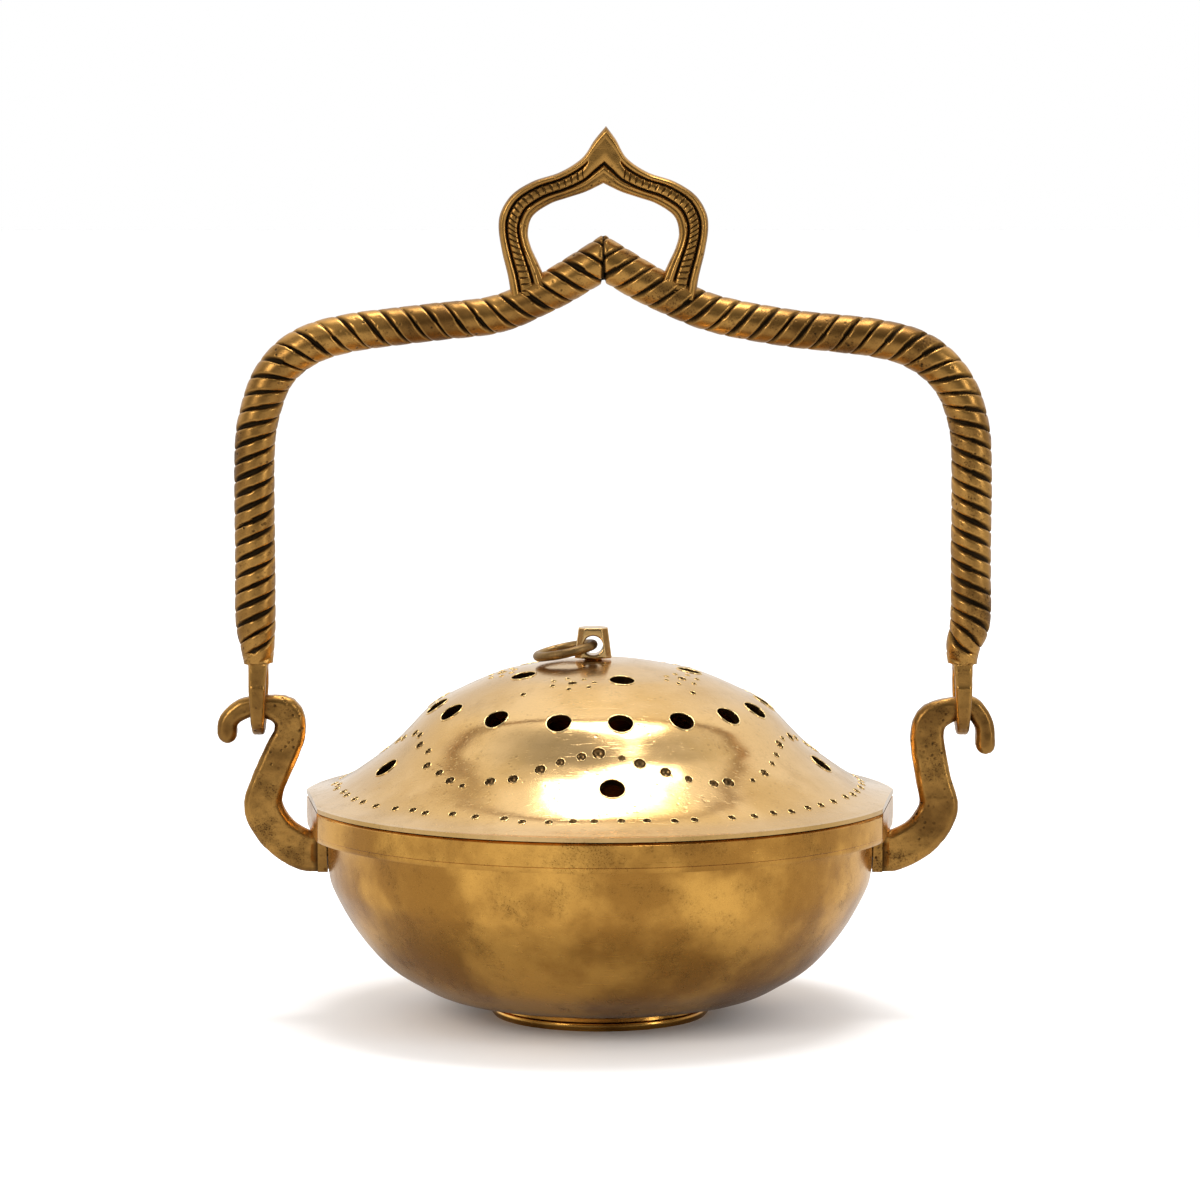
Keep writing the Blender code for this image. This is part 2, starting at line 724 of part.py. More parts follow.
def arc(centre, radius, start, end, steps):
    """Points on an arc, with its angles in degrees."""
    angles = [math.radians(start + (end - start) * i / steps) for i in range(steps + 1)]
    return [
        (centre[0] + radius * math.cos(a), centre[1] + radius * math.sin(a)) for a in angles
    ]


def make_eye(side, word):
    """The closed eye at the foot of an arm, across the hook's bar, thinner towards its foot."""
    slot_top = PIVOT_Z + EYE_SLOT_RISE
    outer = EYE_HALF_SLOT + EYE_WALL
    neck = NECK / 2 - EYE_CHAMFER - GAP  # inside the arm, so that the two join with a clear overlap
    shoulder = slot_top + EYE_HALF_SLOT + EYE_WALL
    outside = [
        *arc((0, PIVOT_Z), outer, 180, 360, 12),
        (outer, slot_top),
        (neck + 2.2 * MM, slot_top + EYE_HALF_SLOT * 0.8),
        (neck, shoulder),
        (-neck, shoulder),
        (-neck - 2.2 * MM, slot_top + EYE_HALF_SLOT * 0.8),
        (-outer, slot_top),
    ]
    slot = [
        *arc((0, PIVOT_Z), EYE_HALF_SLOT, 180, 360, 10),
        *arc((0, slot_top), EYE_HALF_SLOT, 0, 180, 8),
    ]
    eye = plate(f"eye_{word}", [outside, slot], EYE_TOP_THICKNESS, EYE_CHAMFER)
    eye.data.transform(Matrix.Rotation(math.pi / 2, 4, "Z"))
    low, high = PIVOT_Z - outer, shoulder
    for corner in eye.data.vertices:
        share = min(max((corner.co.z - low) / (high - low), 0), 1)
        thickness = EYE_FOOT_THICKNESS + (EYE_TOP_THICKNESS - EYE_FOOT_THICKNESS) * share
        corner.co.x *= thickness / EYE_TOP_THICKNESS
        corner.co.x += side * (RIM_RADIUS + PIVOT_REACH[side])
    return eye


def make_bail_arm(side, word):
    arm = arm_tube(f"bail_arm_{word}", side, 0)
    cut_at_mitre(arm, side)
    boolean(arm, "UNION", make_cutter(make_eye(side, word)))
    return finish_part(arm, "aged")


def loop_outline():
    """Half of the finger loop's outline as offsets from the peak: out over the top, back inside."""
    wide, rise = LOOP_HALF_WIDTH, LOOP_RISE
    outer = [
        (0, rise),
        (2.5 * MM, rise - 3.2 * MM),
        (5.2 * MM, rise - 7.4 * MM),
        (10.2 * MM, rise - 10.7 * MM),
        (16.4 * MM, rise - 12.8 * MM),
        (wide - 3.2 * MM, rise - 15.8 * MM),
        (wide - 0.6 * MM, rise - 19.7 * MM),
        (wide, rise - 23.6 * MM),
        (wide - 0.8 * MM, rise - 29.1 * MM),
        (wide - 2.2 * MM, rise - 35.0 * MM),
        (wide - 3.0 * MM, rise - 45.5 * MM),
    ]
    inner_wide = wide - LOOP_WALL
    inner = [
        (0, rise - 13.2 * MM),
        (1.6 * MM, rise - 14.0 * MM),
        (6.9 * MM, rise - 16.2 * MM),
        (12.4 * MM, rise - 18.0 * MM),
        (inner_wide - 1.2 * MM, rise - 20.8 * MM),
        (inner_wide, rise - 24.6 * MM),
        (inner_wide - 0.7 * MM, rise - 28.1 * MM),
        (inner_wide - 2.3 * MM, rise - 31.6 * MM),
        (inner_wide - 4.6 * MM, rise - 36.0 * MM),
        (inner_wide - 5.6 * MM, rise - 41.5 * MM),
    ]
    return smooth_path(outer, 3), smooth_path(inner, 3)


def make_finger_loop():
    outer, inner = loop_outline()
    ring = [
        *outer,
        *reversed(inner),
        *[(-x, z) for x, z in inner[1:]],
        *[(-x, z) for x, z in reversed(outer[1:])],
    ]
    middles = {side: [(x, z) for x, z, _ in smooth_path(arm_line(side), 3)] for side in SIDES}
    outline = []
    for x, z in ring:
        arm_z = height_at(middles[1 if x > 0 else -1], PEAK_SHIFT + x)
        if PEAK_Z + z > arm_z - LOOP_FOOT:  # the feet end inside the arms, whatever their slope
            lean = LOOP_LEAN * max(0, 1 - (LOOP_RISE - z) / LEAN_LENGTH)
            outline.append((PEAK_SHIFT + x + lean, PEAK_Z + z))
    loop = plate("finger_loop", [outline], LOOP_THICKNESS, LOOP_CHAMFER)
    for side, word in SIDES.items():
        saddle = arm_tube(f"saddle_{word}", side, GAP)
        boolean(loop, "DIFFERENCE", make_cutter(saddle))
    return finish_part(loop, "aged")


clear_scene()
PARTS = new_collection("hanging_incense_burner")
CUTTERS = new_collection("cutters")
FLATS = flat_cutters()

make_bowl()
make_foot_ring()
make_lid()
make_spigot()
make_lug()
make_lid_ring()
make_finger_loop()
for SIDE, WORD in SIDES.items():
    make_pad(SIDE, WORD)
    make_hook(SIDE, WORD)
    make_screw(SIDE, WORD)
    make_bail_arm(SIDE, WORD)
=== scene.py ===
# %% [markdown]
# # A brass hanging incense burner
# The working model comes first, as a fixed frame. Its nodes give every place and size, and the finer pieces
# made here stand in for them. Each piece rides on the body that its node belongs to, so it moves with it.

# %% Load the working model
import json
import math

import bmesh
import bpy
import numpy as np
from mathutils import Matrix, Vector, noise


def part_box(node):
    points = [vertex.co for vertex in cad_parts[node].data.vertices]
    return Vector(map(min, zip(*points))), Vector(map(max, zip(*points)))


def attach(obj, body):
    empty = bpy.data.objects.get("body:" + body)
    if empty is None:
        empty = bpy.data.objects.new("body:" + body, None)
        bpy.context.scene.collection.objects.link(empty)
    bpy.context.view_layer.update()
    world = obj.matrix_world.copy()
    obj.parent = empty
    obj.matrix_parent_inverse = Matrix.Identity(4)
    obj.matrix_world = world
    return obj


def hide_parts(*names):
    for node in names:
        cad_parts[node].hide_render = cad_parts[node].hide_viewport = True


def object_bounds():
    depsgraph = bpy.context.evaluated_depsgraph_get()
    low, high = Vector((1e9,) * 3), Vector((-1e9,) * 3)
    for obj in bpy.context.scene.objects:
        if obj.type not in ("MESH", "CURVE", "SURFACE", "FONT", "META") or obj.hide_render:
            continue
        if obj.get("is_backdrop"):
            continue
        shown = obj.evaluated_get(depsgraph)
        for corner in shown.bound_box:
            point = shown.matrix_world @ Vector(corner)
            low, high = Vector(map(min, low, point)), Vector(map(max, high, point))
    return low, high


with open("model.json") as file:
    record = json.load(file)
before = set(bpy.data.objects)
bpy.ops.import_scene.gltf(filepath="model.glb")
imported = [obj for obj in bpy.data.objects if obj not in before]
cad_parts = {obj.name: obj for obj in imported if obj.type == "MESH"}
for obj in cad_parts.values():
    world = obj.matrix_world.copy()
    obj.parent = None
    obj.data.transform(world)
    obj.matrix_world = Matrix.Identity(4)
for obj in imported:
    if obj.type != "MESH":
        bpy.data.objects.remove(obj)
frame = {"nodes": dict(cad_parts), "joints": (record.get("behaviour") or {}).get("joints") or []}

MM = 0.001
cad_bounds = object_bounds()
nodes = frame["nodes"]
joints = {joint["name"]: joint for joint in frame["joints"]}
rim_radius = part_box("bowl")[1].y
rim_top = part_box("bowl")[1].z
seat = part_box("lid")[0].z
lid_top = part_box("lid")[1].z
pivot_z = joints["bail_swing"]["pos_m"][2]
print("nodes", len(nodes), "rim radius", round(rim_radius, 4), "lid top", round(lid_top, 4))

# %% [markdown]
# ## Camera, floor and light
# A long lens a little above the rim shows the lid from slightly above. The floor is a pale sheet, painted grey
# where the brass reflects it: painted shade in those reflections. Brass shows what stands around it, so the light
# matters more than the colour: the surround below is bright behind and overhead, darker in front and to one side,
# which is what gives polished brass its contrast.

# %% Camera
camera_data = bpy.data.cameras.new("camera")
camera_data.lens = 151.2
camera_data.sensor_width = 36.0
camera_data.clip_end = 50.0
camera = bpy.data.objects.new("camera", camera_data)
bpy.context.scene.collection.objects.link(camera)
camera.location = (0.0, -1.177, 0.221)
aim = Vector((0.0, 0.0, 0.098)) - camera.location
camera.rotation_euler = aim.to_track_quat("-Z", "Y").to_euler()
bpy.context.scene.camera = camera
bpy.context.scene.view_settings.view_transform = "Standard"
print("camera looks down by", round(math.degrees(math.asin(-aim.normalized().z)), 1), "degrees")


# %% A short way to add a shader node and link its inputs
def add_node(tree, kind, inputs=None, **settings):
    made = tree.nodes.new(kind)
    for name, value in settings.items():
        setattr(made, name, value)
    for name, value in (inputs or {}).items():
        if isinstance(value, bpy.types.NodeSocket):
            tree.links.new(value, made.inputs[name])
        else:
            made.inputs[name].default_value = value
    return made


def maths(tree, operation, first, second=0.0, clamp=False):
    made = add_node(tree, "ShaderNodeMath", {0: first, 1: second}, operation=operation, use_clamp=clamp)
    return made.outputs[0]


def spread(tree, value, low, high, to_low=0.0, to_high=1.0):
    """A value moved smoothly from one range to another."""
    made = add_node(
        tree,
        "ShaderNodeMapRange",
        {"Value": value, "From Min": low, "From Max": high, "To Min": to_low, "To Max": to_high},
        interpolation_type="SMOOTHSTEP",
    )
    return made.outputs["Result"]


def blend_colours(tree, share, first, second):
    made = add_node(tree, "ShaderNodeMix", data_type="RGBA")
    for socket, value in ((made.inputs[0], share), (made.inputs[6], first), (made.inputs[7], second)):
        if isinstance(value, bpy.types.NodeSocket):
            tree.links.new(value, socket)
        else:
            socket.default_value = value
    return made.outputs[2]


print("node helpers ready")

# %% Surround
world = bpy.data.worlds.new("studio")
bpy.context.scene.world = world
world.use_nodes = True
sky = world.node_tree
sky.nodes.clear()
direction = add_node(sky, "ShaderNodeTexCoord").outputs["Generated"]
across = add_node(sky, "ShaderNodeSeparateXYZ", {"Vector": direction})
behind = spread(sky, across.outputs["Y"], -0.25, 0.40, 0.09, 1.0)
overhead = spread(sky, across.outputs["Z"], 0.30, 0.95, 0.0, 0.32)
left_window = spread(sky, across.outputs["X"], -0.35, -0.85, 0.0, 0.22)
strength = maths(sky, "ADD", maths(sky, "ADD", behind, overhead), left_window)
rays = add_node(sky, "ShaderNodeLightPath").outputs
even = 1.12  # what the floor is lit by, so that it stays as white as the backdrop
for seen, level in ((rays["Is Camera Ray"], 1.0), (rays["Is Diffuse Ray"], even)):
    others = maths(sky, "MULTIPLY", strength, maths(sky, "SUBTRACT", 1.0, seen))
    strength = maths(sky, "ADD", others, maths(sky, "MULTIPLY", seen, level))
shine = add_node(sky, "ShaderNodeBackground", {"Color": (1.0, 1.0, 1.0, 1.0), "Strength": strength})
world_out = add_node(sky, "ShaderNodeOutputWorld")
sky.links.new(shine.outputs[0], world_out.inputs["Surface"])
print("surround made")

# %% Floor
floor_bm = bmesh.new()
bmesh.ops.create_grid(floor_bm, x_segments=1, y_segments=1, size=6.0)
floor_mesh = bpy.data.meshes.new("floor")
floor_bm.to_mesh(floor_mesh)
floor_bm.free()
floor = bpy.data.objects.new("floor", floor_mesh)
bpy.context.scene.collection.objects.link(floor)
pale = bpy.data.materials.new("floor_dark_in_reflections")
pale.use_nodes = True
mirrored = add_node(pale.node_tree, "ShaderNodeLightPath").outputs["Is Glossy Ray"]
# Seen from the camera the floor is pale; seen in the brass it is grey: painted shade in its reflections.
floor_colour_dark_in_reflections = blend_colours(pale.node_tree, mirrored, (0.93, 0.93, 0.93, 1.0), (0.44, 0.44, 0.44, 1.0))
pale_shader = pale.node_tree.nodes["Principled BSDF"]
pale.node_tree.links.new(floor_colour_dark_in_reflections, pale_shader.inputs["Base Color"])
pale_shader.inputs["Roughness"].default_value = 0.9
floor_mesh.materials.append(pale)
floor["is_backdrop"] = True
print("floor", round(floor.dimensions.x, 1), "m wide")


# %% Lamps
def soft_lamp(name, place, size, power, colour=(1.0, 1.0, 1.0)):
    """A large soft lamp that faces the middle of the object."""
    data = bpy.data.lights.new(name, "AREA")
    data.shape = "RECTANGLE"
    data.size, data.size_y = size
    data.energy = power
    data.color = colour
    lamp = bpy.data.objects.new(name, data)
    bpy.context.scene.collection.objects.link(lamp)
    lamp.location = place
    lamp.rotation_euler = (MIDDLE - Vector(place)).to_track_quat("-Z", "Y").to_euler()
    lamp.visible_camera = False


MIDDLE = Vector((0.0, 0.0, 0.09))
soft_lamp("top_softbox", (0.1, 0.15, 1.5), (0.8, 0.5), 15.0)
soft_lamp("key_left", (-0.95, -1.1, 0.75), (0.4, 0.7), 8.0, (1.0, 0.97, 0.93))
soft_lamp("fill_right", (1.25, -0.75, 0.55), (0.22, 0.9), 5.0)
print("lamps", len(bpy.data.lights))

# %% [markdown]
# ## One brass for every piece
# Old brass is never one colour. It is bright where hands and cloths rub it, browner where air has worked on
# it, and black in the hollows where polish never reaches. One node group makes all of that from a few masks,
# and each finish sets its own colours and amounts. The groove and wear masks are stored on the meshes; the wear
# mask also brightens edges and the lips of cuts as a painted highlight.


# %% The brass group
GROUP_INPUTS = (
    ("Place", "NodeSocketVector", None),
    ("Bright", "NodeSocketColor", (0.8, 0.6, 0.3, 1.0)),
    ("Deep", "NodeSocketColor", (0.5, 0.3, 0.1, 1.0)),
    ("Oxide", "NodeSocketColor", (0.03, 0.02, 0.01, 1.0)),
    ("Mottle", "NodeSocketFloat", 0.5),
    ("Stain", "NodeSocketFloat", 0.3),
    ("Pits", "NodeSocketFloat", 0.3),
    ("Turning", "NodeSocketFloat", 0.0),
    ("Groove", "NodeSocketFloat", 0.0),
    ("Wear And Highlight", "NodeSocketFloat", 0.0),
    ("Base Roughness", "NodeSocketFloat", 0.25),
    ("Waviness", "NodeSocketFloat", 0.3),
)
brass_group = bpy.data.node_groups.new("aged_brass", "ShaderNodeTree")
for name, kind, value in GROUP_INPUTS:
    socket = brass_group.interface.new_socket(name, in_out="INPUT", socket_type=kind)
    if value is not None:
        socket.default_value = value
for name, kind in (("Colour", "NodeSocketColor"), ("Roughness", "NodeSocketFloat"), ("Normal", "NodeSocketVector")):
    brass_group.interface.new_socket(name, in_out="OUTPUT", socket_type=kind)
given = add_node(brass_group, "NodeGroupInput").outputs
place = given["Place"]


def cloud(scale, detail=4.0, vector=place, roughness=0.55):
    made = add_node(
        brass_group,
        "ShaderNodeTexNoise",
        {"Vector": vector, "Scale": scale, "Detail": detail, "Roughness": roughness},
    )
    return made.outputs["Fac"]


broad = spread(brass_group, cloud(38.0, 5.0), 0.38, 0.64)
patches = spread(brass_group, cloud(95.0, 6.0, roughness=0.68), 0.50, 0.70)
specks = spread(brass_group, cloud(2400.0, 3.0, roughness=0.7), 0.52, 0.62)
axis_parts = add_node(brass_group, "ShaderNodeSeparateXYZ", {"Vector": place}).outputs
flat_place = add_node(brass_group, "ShaderNodeCombineXYZ", {"X": axis_parts["X"], "Y": axis_parts["Y"]}).outputs[0]
reach = add_node(brass_group, "ShaderNodeVectorMath", {0: flat_place}, operation="LENGTH").outputs["Value"]
turned_place = add_node(
    brass_group,
    "ShaderNodeCombineXYZ",
    {
        "X": maths(brass_group, "MULTIPLY", reach, 30.0),
        "Y": maths(brass_group, "MULTIPLY", axis_parts["Z"], 30.0),
        "Z": maths(brass_group, "MULTIPLY", axis_parts["X"], 0.6),
    },
).outputs[0]
turning = cloud(60.0, 3.0, turned_place)
scratch_place = add_node(
    brass_group, "ShaderNodeMapping", {"Vector": place, "Rotation": (0.5, 0.3, 0.8), "Scale": (30.0, 1200.0, 1200.0)}
).outputs[0]
scratches = spread(brass_group, cloud(1.6, 2.0, scratch_place), 0.63, 0.70)
pit_cells = add_node(brass_group, "ShaderNodeTexVoronoi", {"Vector": place, "Scale": 620.0}).outputs["Distance"]
pit_field = spread(brass_group, cloud(150.0, 3.0), 0.44, 0.66)
pits = maths(brass_group, "MULTIPLY", spread(brass_group, pit_cells, 0.32, 0.08), pit_field)
pits = maths(brass_group, "MULTIPLY", pits, given["Pits"], clamp=True)



def brass_maths(operation, first, second, clamp=False):
    return maths(brass_group, operation, first, second, clamp)


mottled = brass_maths("MULTIPLY", broad, given["Mottle"])
tone = blend_colours(brass_group, mottled, given["Bright"], given["Deep"])
grain = brass_maths("ADD", brass_maths("MULTIPLY", specks, patches), brass_maths("MULTIPLY", specks, 0.25))
blotches = brass_maths("ADD", brass_maths("MULTIPLY", patches, 0.6), grain)
stained = brass_maths("MULTIPLY", blotches, given["Stain"], clamp=True)
stain_colour = blend_colours(brass_group, 0.45, given["Deep"], given["Oxide"])
tone = blend_colours(brass_group, stained, tone, stain_colour)
# The wear mask brightens towards Bright: rubbed metal, and a painted highlight on edges and the lips of cuts.
rubbed_and_highlit = brass_maths("MULTIPLY", given["Wear And Highlight"], 0.75, clamp=True)
tone = blend_colours(brass_group, rubbed_and_highlit, tone, given["Bright"])
dark = brass_maths("MAXIMUM", given["Groove"], pits, clamp=True)
tone = blend_colours(brass_group, dark, tone, given["Oxide"])

rough = brass_maths("ADD", given["Base Roughness"], brass_maths("MULTIPLY", stained, 0.22))
for mask, share in ((broad, 0.05), (dark, 0.35), (scratches, 0.10)):
    rough = brass_maths("ADD", rough, brass_maths("MULTIPLY", mask, share))
rough = brass_maths("SUBTRACT", rough, brass_maths("MULTIPLY", given["Wear And Highlight"], 0.06), clamp=True)

height = brass_maths("MULTIPLY", cloud(70.0, 2.0), given["Waviness"])
turned = brass_maths("MULTIPLY", turning, given["Turning"])
for mask, share in ((turned, 0.02), (scratches, -0.012), (pits, -0.35), (cloud(1500.0, 2.0), 0.012)):
    height = brass_maths("ADD", height, brass_maths("MULTIPLY", mask, share))
bump = add_node(brass_group, "ShaderNodeBump", {"Height": height, "Strength": 1.0, "Distance": 0.0004}).outputs[0]
add_node(brass_group, "NodeGroupOutput", {"Colour": tone, "Roughness": rough, "Normal": bump})
print("brass group nodes", len(brass_group.nodes))


# %% The finishes
def brass_finish(name, bright, deep, oxide=(0.035, 0.022, 0.010), **amounts):
    made = bpy.data.materials.new(name)
    made.use_nodes = True
    tree = made.node_tree
    shader = tree.nodes["Principled BSDF"]
    where = add_node(tree, "ShaderNodeTexCoord").outputs["Object"]
    groove = add_node(tree, "ShaderNodeAttribute", attribute_name="groove").outputs["Fac"]
    wear_and_highlight = add_node(tree, "ShaderNodeAttribute", attribute_name="wear_and_highlight").outputs["Fac"]
    values = {"Place": where, "Bright": (*bright, 1.0), "Deep": (*deep, 1.0), "Oxide": (*oxide, 1.0)}
    values.update({"Groove": groove, "Wear And Highlight": wear_and_highlight})
    values.update({name.replace("_", " ").title(): value for name, value in amounts.items()})
    skin = add_node(tree, "ShaderNodeGroup", node_tree=brass_group)
    for socket, value in values.items():
        if isinstance(value, bpy.types.NodeSocket):
            tree.links.new(value, skin.inputs[socket])
        else:
            skin.inputs[socket].default_value = value
    tree.links.new(skin.outputs["Colour"], shader.inputs["Base Color"])
    tree.links.new(skin.outputs["Roughness"], shader.inputs["Roughness"])
    tree.links.new(skin.outputs["Normal"], shader.inputs["Normal"])
    shader.inputs["Metallic"].default_value = 1.0
    return made


lid_brass = brass_finish(
    "lid_brass_finish", (0.72, 0.47, 0.205), (0.56, 0.335, 0.105),
    mottle=0.8, stain=0.30, pits=0.16, turning=0.5, base_roughness=0.15, waviness=0.50,
)
bowl_brass = brass_finish(
    "bowl_brass_finish", (0.80, 0.43, 0.095), (0.36, 0.165, 0.032),
    mottle=0.9, stain=0.50, pits=0.12, turning=0.5, base_roughness=0.17, waviness=0.55,
)
aged_brass = brass_finish(
    "aged_brass_finish", (0.52, 0.275, 0.070), (0.17, 0.080, 0.020),
    mottle=0.9, stain=0.95, pits=0.9, base_roughness=0.32, waviness=0.4,
)
dull_brass = brass_finish(
    "dull_brass_finish", (0.36, 0.22, 0.08), (0.17, 0.10, 0.04),
    mottle=0.8, stain=0.7, pits=0.5, base_roughness=0.40, waviness=0.4,
)
# Brighter brass for the raised lips round the drillings: fresh metal, and a painted highlight for their bright rings.
highlit_lip_brass = brass_finish(
    "highlit_lip_brass", (0.92, 0.66, 0.30), (0.70, 0.44, 0.15),
    mottle=0.5, stain=0.1, pits=0.0, base_roughness=0.18, waviness=0.1,
)
# Dark brass for the pips and the walls of the smoke holes: some oxide, and painted shade inside these recesses.
shaded_hollow_brass = brass_finish(
    "shaded_hollow_brass", (0.22, 0.13, 0.050), (0.07, 0.04, 0.018),
    mottle=0.8, stain=0.5, pits=0.2, base_roughness=0.28, waviness=0.2,
)
print("finishes made")

# %% [markdown]
# ## Helpers for the meshes
# Most pieces are turned on a lathe, so a profile and `spin` make them. The cast and filed ones start from
# their own node: the copy is merged, remeshed finely and smoothed, which rounds its edges as casting and
# filing do. A mask of its ridges and hollows is then stored on the mesh for the brass to use.


# %% Lines, spins and finished pieces
def smooth_line(points, steps):
    """A smooth line through points, which may hold any number of values each."""
    first = [2 * a - b for a, b in zip(points[0], points[1])]
    last = [2 * a - b for a, b in zip(points[-1], points[-2])]
    known = [first, *points, last]
    line = []
    for quad in zip(known, known[1:], known[2:], known[3:]):
        for step in range(steps):
            t = step / steps
            line.append(tuple(
                0.5 * (2 * b + (c - a) * t + (2 * a - 5 * b + 4 * c - d) * t**2 + (3 * b - a - 3 * c + d) * t**3)
                for a, b, c, d in zip(*quad)
            ))
    return [*line, tuple(points[-1])]


def shifted(line, distance):
    """The line of (radius, height) moved to its left by a distance."""
    moved = []
    for i, (x, z) in enumerate(line):
        ahead, back = line[min(i + 1, len(line) - 1)], line[max(i - 1, 0)]
        along = Vector((ahead[0] - back[0], ahead[1] - back[1])).normalized()
        moved.append((x - along.y * distance, z + along.x * distance))
    return moved


def spun(profile, sides, closed=False):
    """A profile of (radius, height) spun about Z, in a bmesh."""
    bm = bmesh.new()
    corners = [bm.verts.new((r, 0, z)) for r, z in profile]
    edges = [bm.edges.new(pair) for pair in zip(corners, corners[1:])]
    if closed:
        edges.append(bm.edges.new((corners[-1], corners[0])))
    bmesh.ops.spin(
        bm, geom=[*corners, *edges], axis=(0, 0, 1), cent=(0, 0, 0), angle=math.tau, steps=sides, use_merge=True
    )
    bmesh.ops.remove_doubles(bm, verts=bm.verts, dist=1e-6)
    bmesh.ops.recalc_face_normals(bm, faces=bm.faces)
    return bm


def piece_from(bm, name, finish, body, replaced=(), sharp=35.0):
    """Turns a bmesh into a piece that rides on a body and may stand for CAD nodes."""
    mesh = bpy.data.meshes.new(name)
    bm.to_mesh(mesh)
    bm.free()
    piece = bpy.data.objects.new(name, mesh)
    bpy.context.scene.collection.objects.link(piece)
    mesh.materials.append(finish)
    mesh.shade_smooth()
    mesh.set_sharp_from_angle(angle=math.radians(sharp))
    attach(piece, body)
    if replaced:
        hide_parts(*replaced)
    print(name, "faces", len(mesh.polygons))
    return piece


def evaluated(piece):
    """The mesh that a piece's modifiers make, put in the piece in their place."""
    bpy.context.view_layer.update()
    graph = bpy.context.evaluated_depsgraph_get()
    mesh = bpy.data.meshes.new_from_object(piece.evaluated_get(graph))
    piece.modifiers.clear()
    piece.data = mesh
    return mesh


print("mesh helpers ready")


# %% A cast piece from its node, and its ridges and hollows
def values_of(items, field, width):
    """A field of every vertex or edge as rows of numbers."""
    flat = np.zeros(len(items) * width, np.int32 if field == "vertices" else np.float32)
    items.foreach_get(field, flat)
    return flat.reshape(-1, width)


def store_mask(mesh, name, values):
    mask = mesh.attributes.new(name, "FLOAT", "POINT")
    mask.data.foreach_set("value", np.clip(values, 0, 1).astype(np.float32))


RELIEF_ROUNDS = 2  # how often the relief is averaged with its neighbours


def store_relief(mesh, strength, crease=None):
    """Stores how far each point stands out from its neighbours as the wear mask, which brightens edges as rubbed
    metal and as a painted highlight, and how far it lies below them as the groove mask.
    """
    points, normals = values_of(mesh.vertices, "co", 3), values_of(mesh.vertices, "normal", 3)
    first, second = values_of(mesh.edges, "vertices", 2).T
    apart = points[first] - points[second]
    apart /= np.maximum(np.linalg.norm(apart, axis=1, keepdims=True), 1e-7)
    relief, count = np.zeros(len(points)), np.zeros(len(points))
    np.add.at(relief, first, (apart * normals[first]).sum(1))
    np.add.at(relief, second, -(apart * normals[second]).sum(1))
    np.add.at(count, first, 1)
    np.add.at(count, second, 1)
    relief /= np.maximum(count, 1)
    for _ in range(RELIEF_ROUNDS):
        total = relief.copy()
        np.add.at(total, first, relief[second])
        np.add.at(total, second, relief[first])
        relief = total / (count + 1)
    hollow = -relief * strength
    if crease is not None:
        hollow = np.maximum(hollow, crease(points))
    store_mask(mesh, "wear_and_highlight", relief * strength)
    store_mask(mesh, "groove", hollow)


def cast_copy(node, voxel, dents, below=None):
    """A bmesh of a node's merged copy, cut off at a height, remeshed finely and slightly dented."""
    bm = bmesh.new()
    bm.from_mesh(nodes[node].data)
    bmesh.ops.remove_doubles(bm, verts=bm.verts, dist=1e-5)
    if below is not None:
        bmesh.ops.bisect_plane(
            bm, geom=[*bm.verts, *bm.edges, *bm.faces], plane_co=(0, 0, below), plane_no=(0, 0, 1), clear_outer=True
        )
        bmesh.ops.holes_fill(bm, edges=bm.edges)
    rough = bpy.data.meshes.new(node + "_rough")
    bm.to_mesh(rough)
    bm.free()
    shape = bpy.data.objects.new(node + "_rough", rough)
    bpy.context.scene.collection.objects.link(shape)
    remesh = shape.modifiers.new("Remesh", "REMESH")
    remesh.mode = "VOXEL"
    remesh.voxel_size = voxel
    mesh = evaluated(shape)
    bm = bmesh.new()
    bm.from_mesh(mesh)
    bpy.data.objects.remove(shape)
    for _ in range(2):
        bmesh.ops.smooth_vert(bm, verts=bm.verts, factor=0.5, use_axis_x=True, use_axis_y=True, use_axis_z=True)
    for v in bm.verts:
        push = noise.noise(v.co * 420.0) * 0.7 + noise.noise(v.co * 1300.0) * 0.3
        v.co += v.normal * (push * dents - dents * 0.5)
    return bm


print("casting helper ready")

# %% [markdown]
# ## Bowl and foot
# The bowl is turned: a thin curved wall, a flat where the foot ring sits, and a heavy band at the rim with a
# small lip underneath. The band is filed flat at each hook, which a plane cuts here as the file does.

# %% Bowl
bowl_radius, wall, foot_height = 64.3 * MM, 2.2 * MM, 3.2 * MM
band_underside, mouth, lip = 44.0 * MM, 62.0 * MM, 0.6 * MM
bowl_curve = (
    (1.0, 1.0), (0.994, 0.76), (0.966, 0.627), (0.891, 0.424),
    (0.792, 0.243), (0.690, 0.135), (0.585, 0.056), (0.400, 0.008),
)
outside = smooth_line(
    [(share * bowl_radius, foot_height + drop * (band_underside - foot_height)) for share, drop in bowl_curve], 6
)
inside = [(min(r, mouth), max(z, foot_height + wall)) for r, z in shifted(outside, -wall)]
bowl_profile = [
    (0, foot_height + wall),
    *reversed(inside),
    (mouth, rim_top - 0.4 * MM),
    (mouth + 0.4 * MM, rim_top),
    (rim_radius - 0.5 * MM, rim_top),
    (rim_radius, rim_top - 0.5 * MM),
    (rim_radius, band_underside + 1.4 * MM),
    (rim_radius - 0.25 * MM, band_underside + 1.2 * MM),
    (rim_radius - 0.25 * MM, band_underside + lip),
    (rim_radius - lip, band_underside),
    (bowl_radius + 0.5 * MM, band_underside),
    *outside[1:],
    (0, foot_height),
]
flat_reach, flat_turn = rim_radius - 2.0 * MM, math.radians(7.5)


def file_flats(bm):
    """Cuts the two flats and closes the cuts."""
    for angle in (-flat_turn, math.pi + flat_turn):
        out = Vector((math.cos(angle), math.sin(angle), 0))
        bmesh.ops.bisect_plane(
            bm, geom=[*bm.verts, *bm.edges, *bm.faces], plane_co=out * flat_reach, plane_no=out, clear_outer=True
        )
        bmesh.ops.holes_fill(bm, edges=bm.edges)


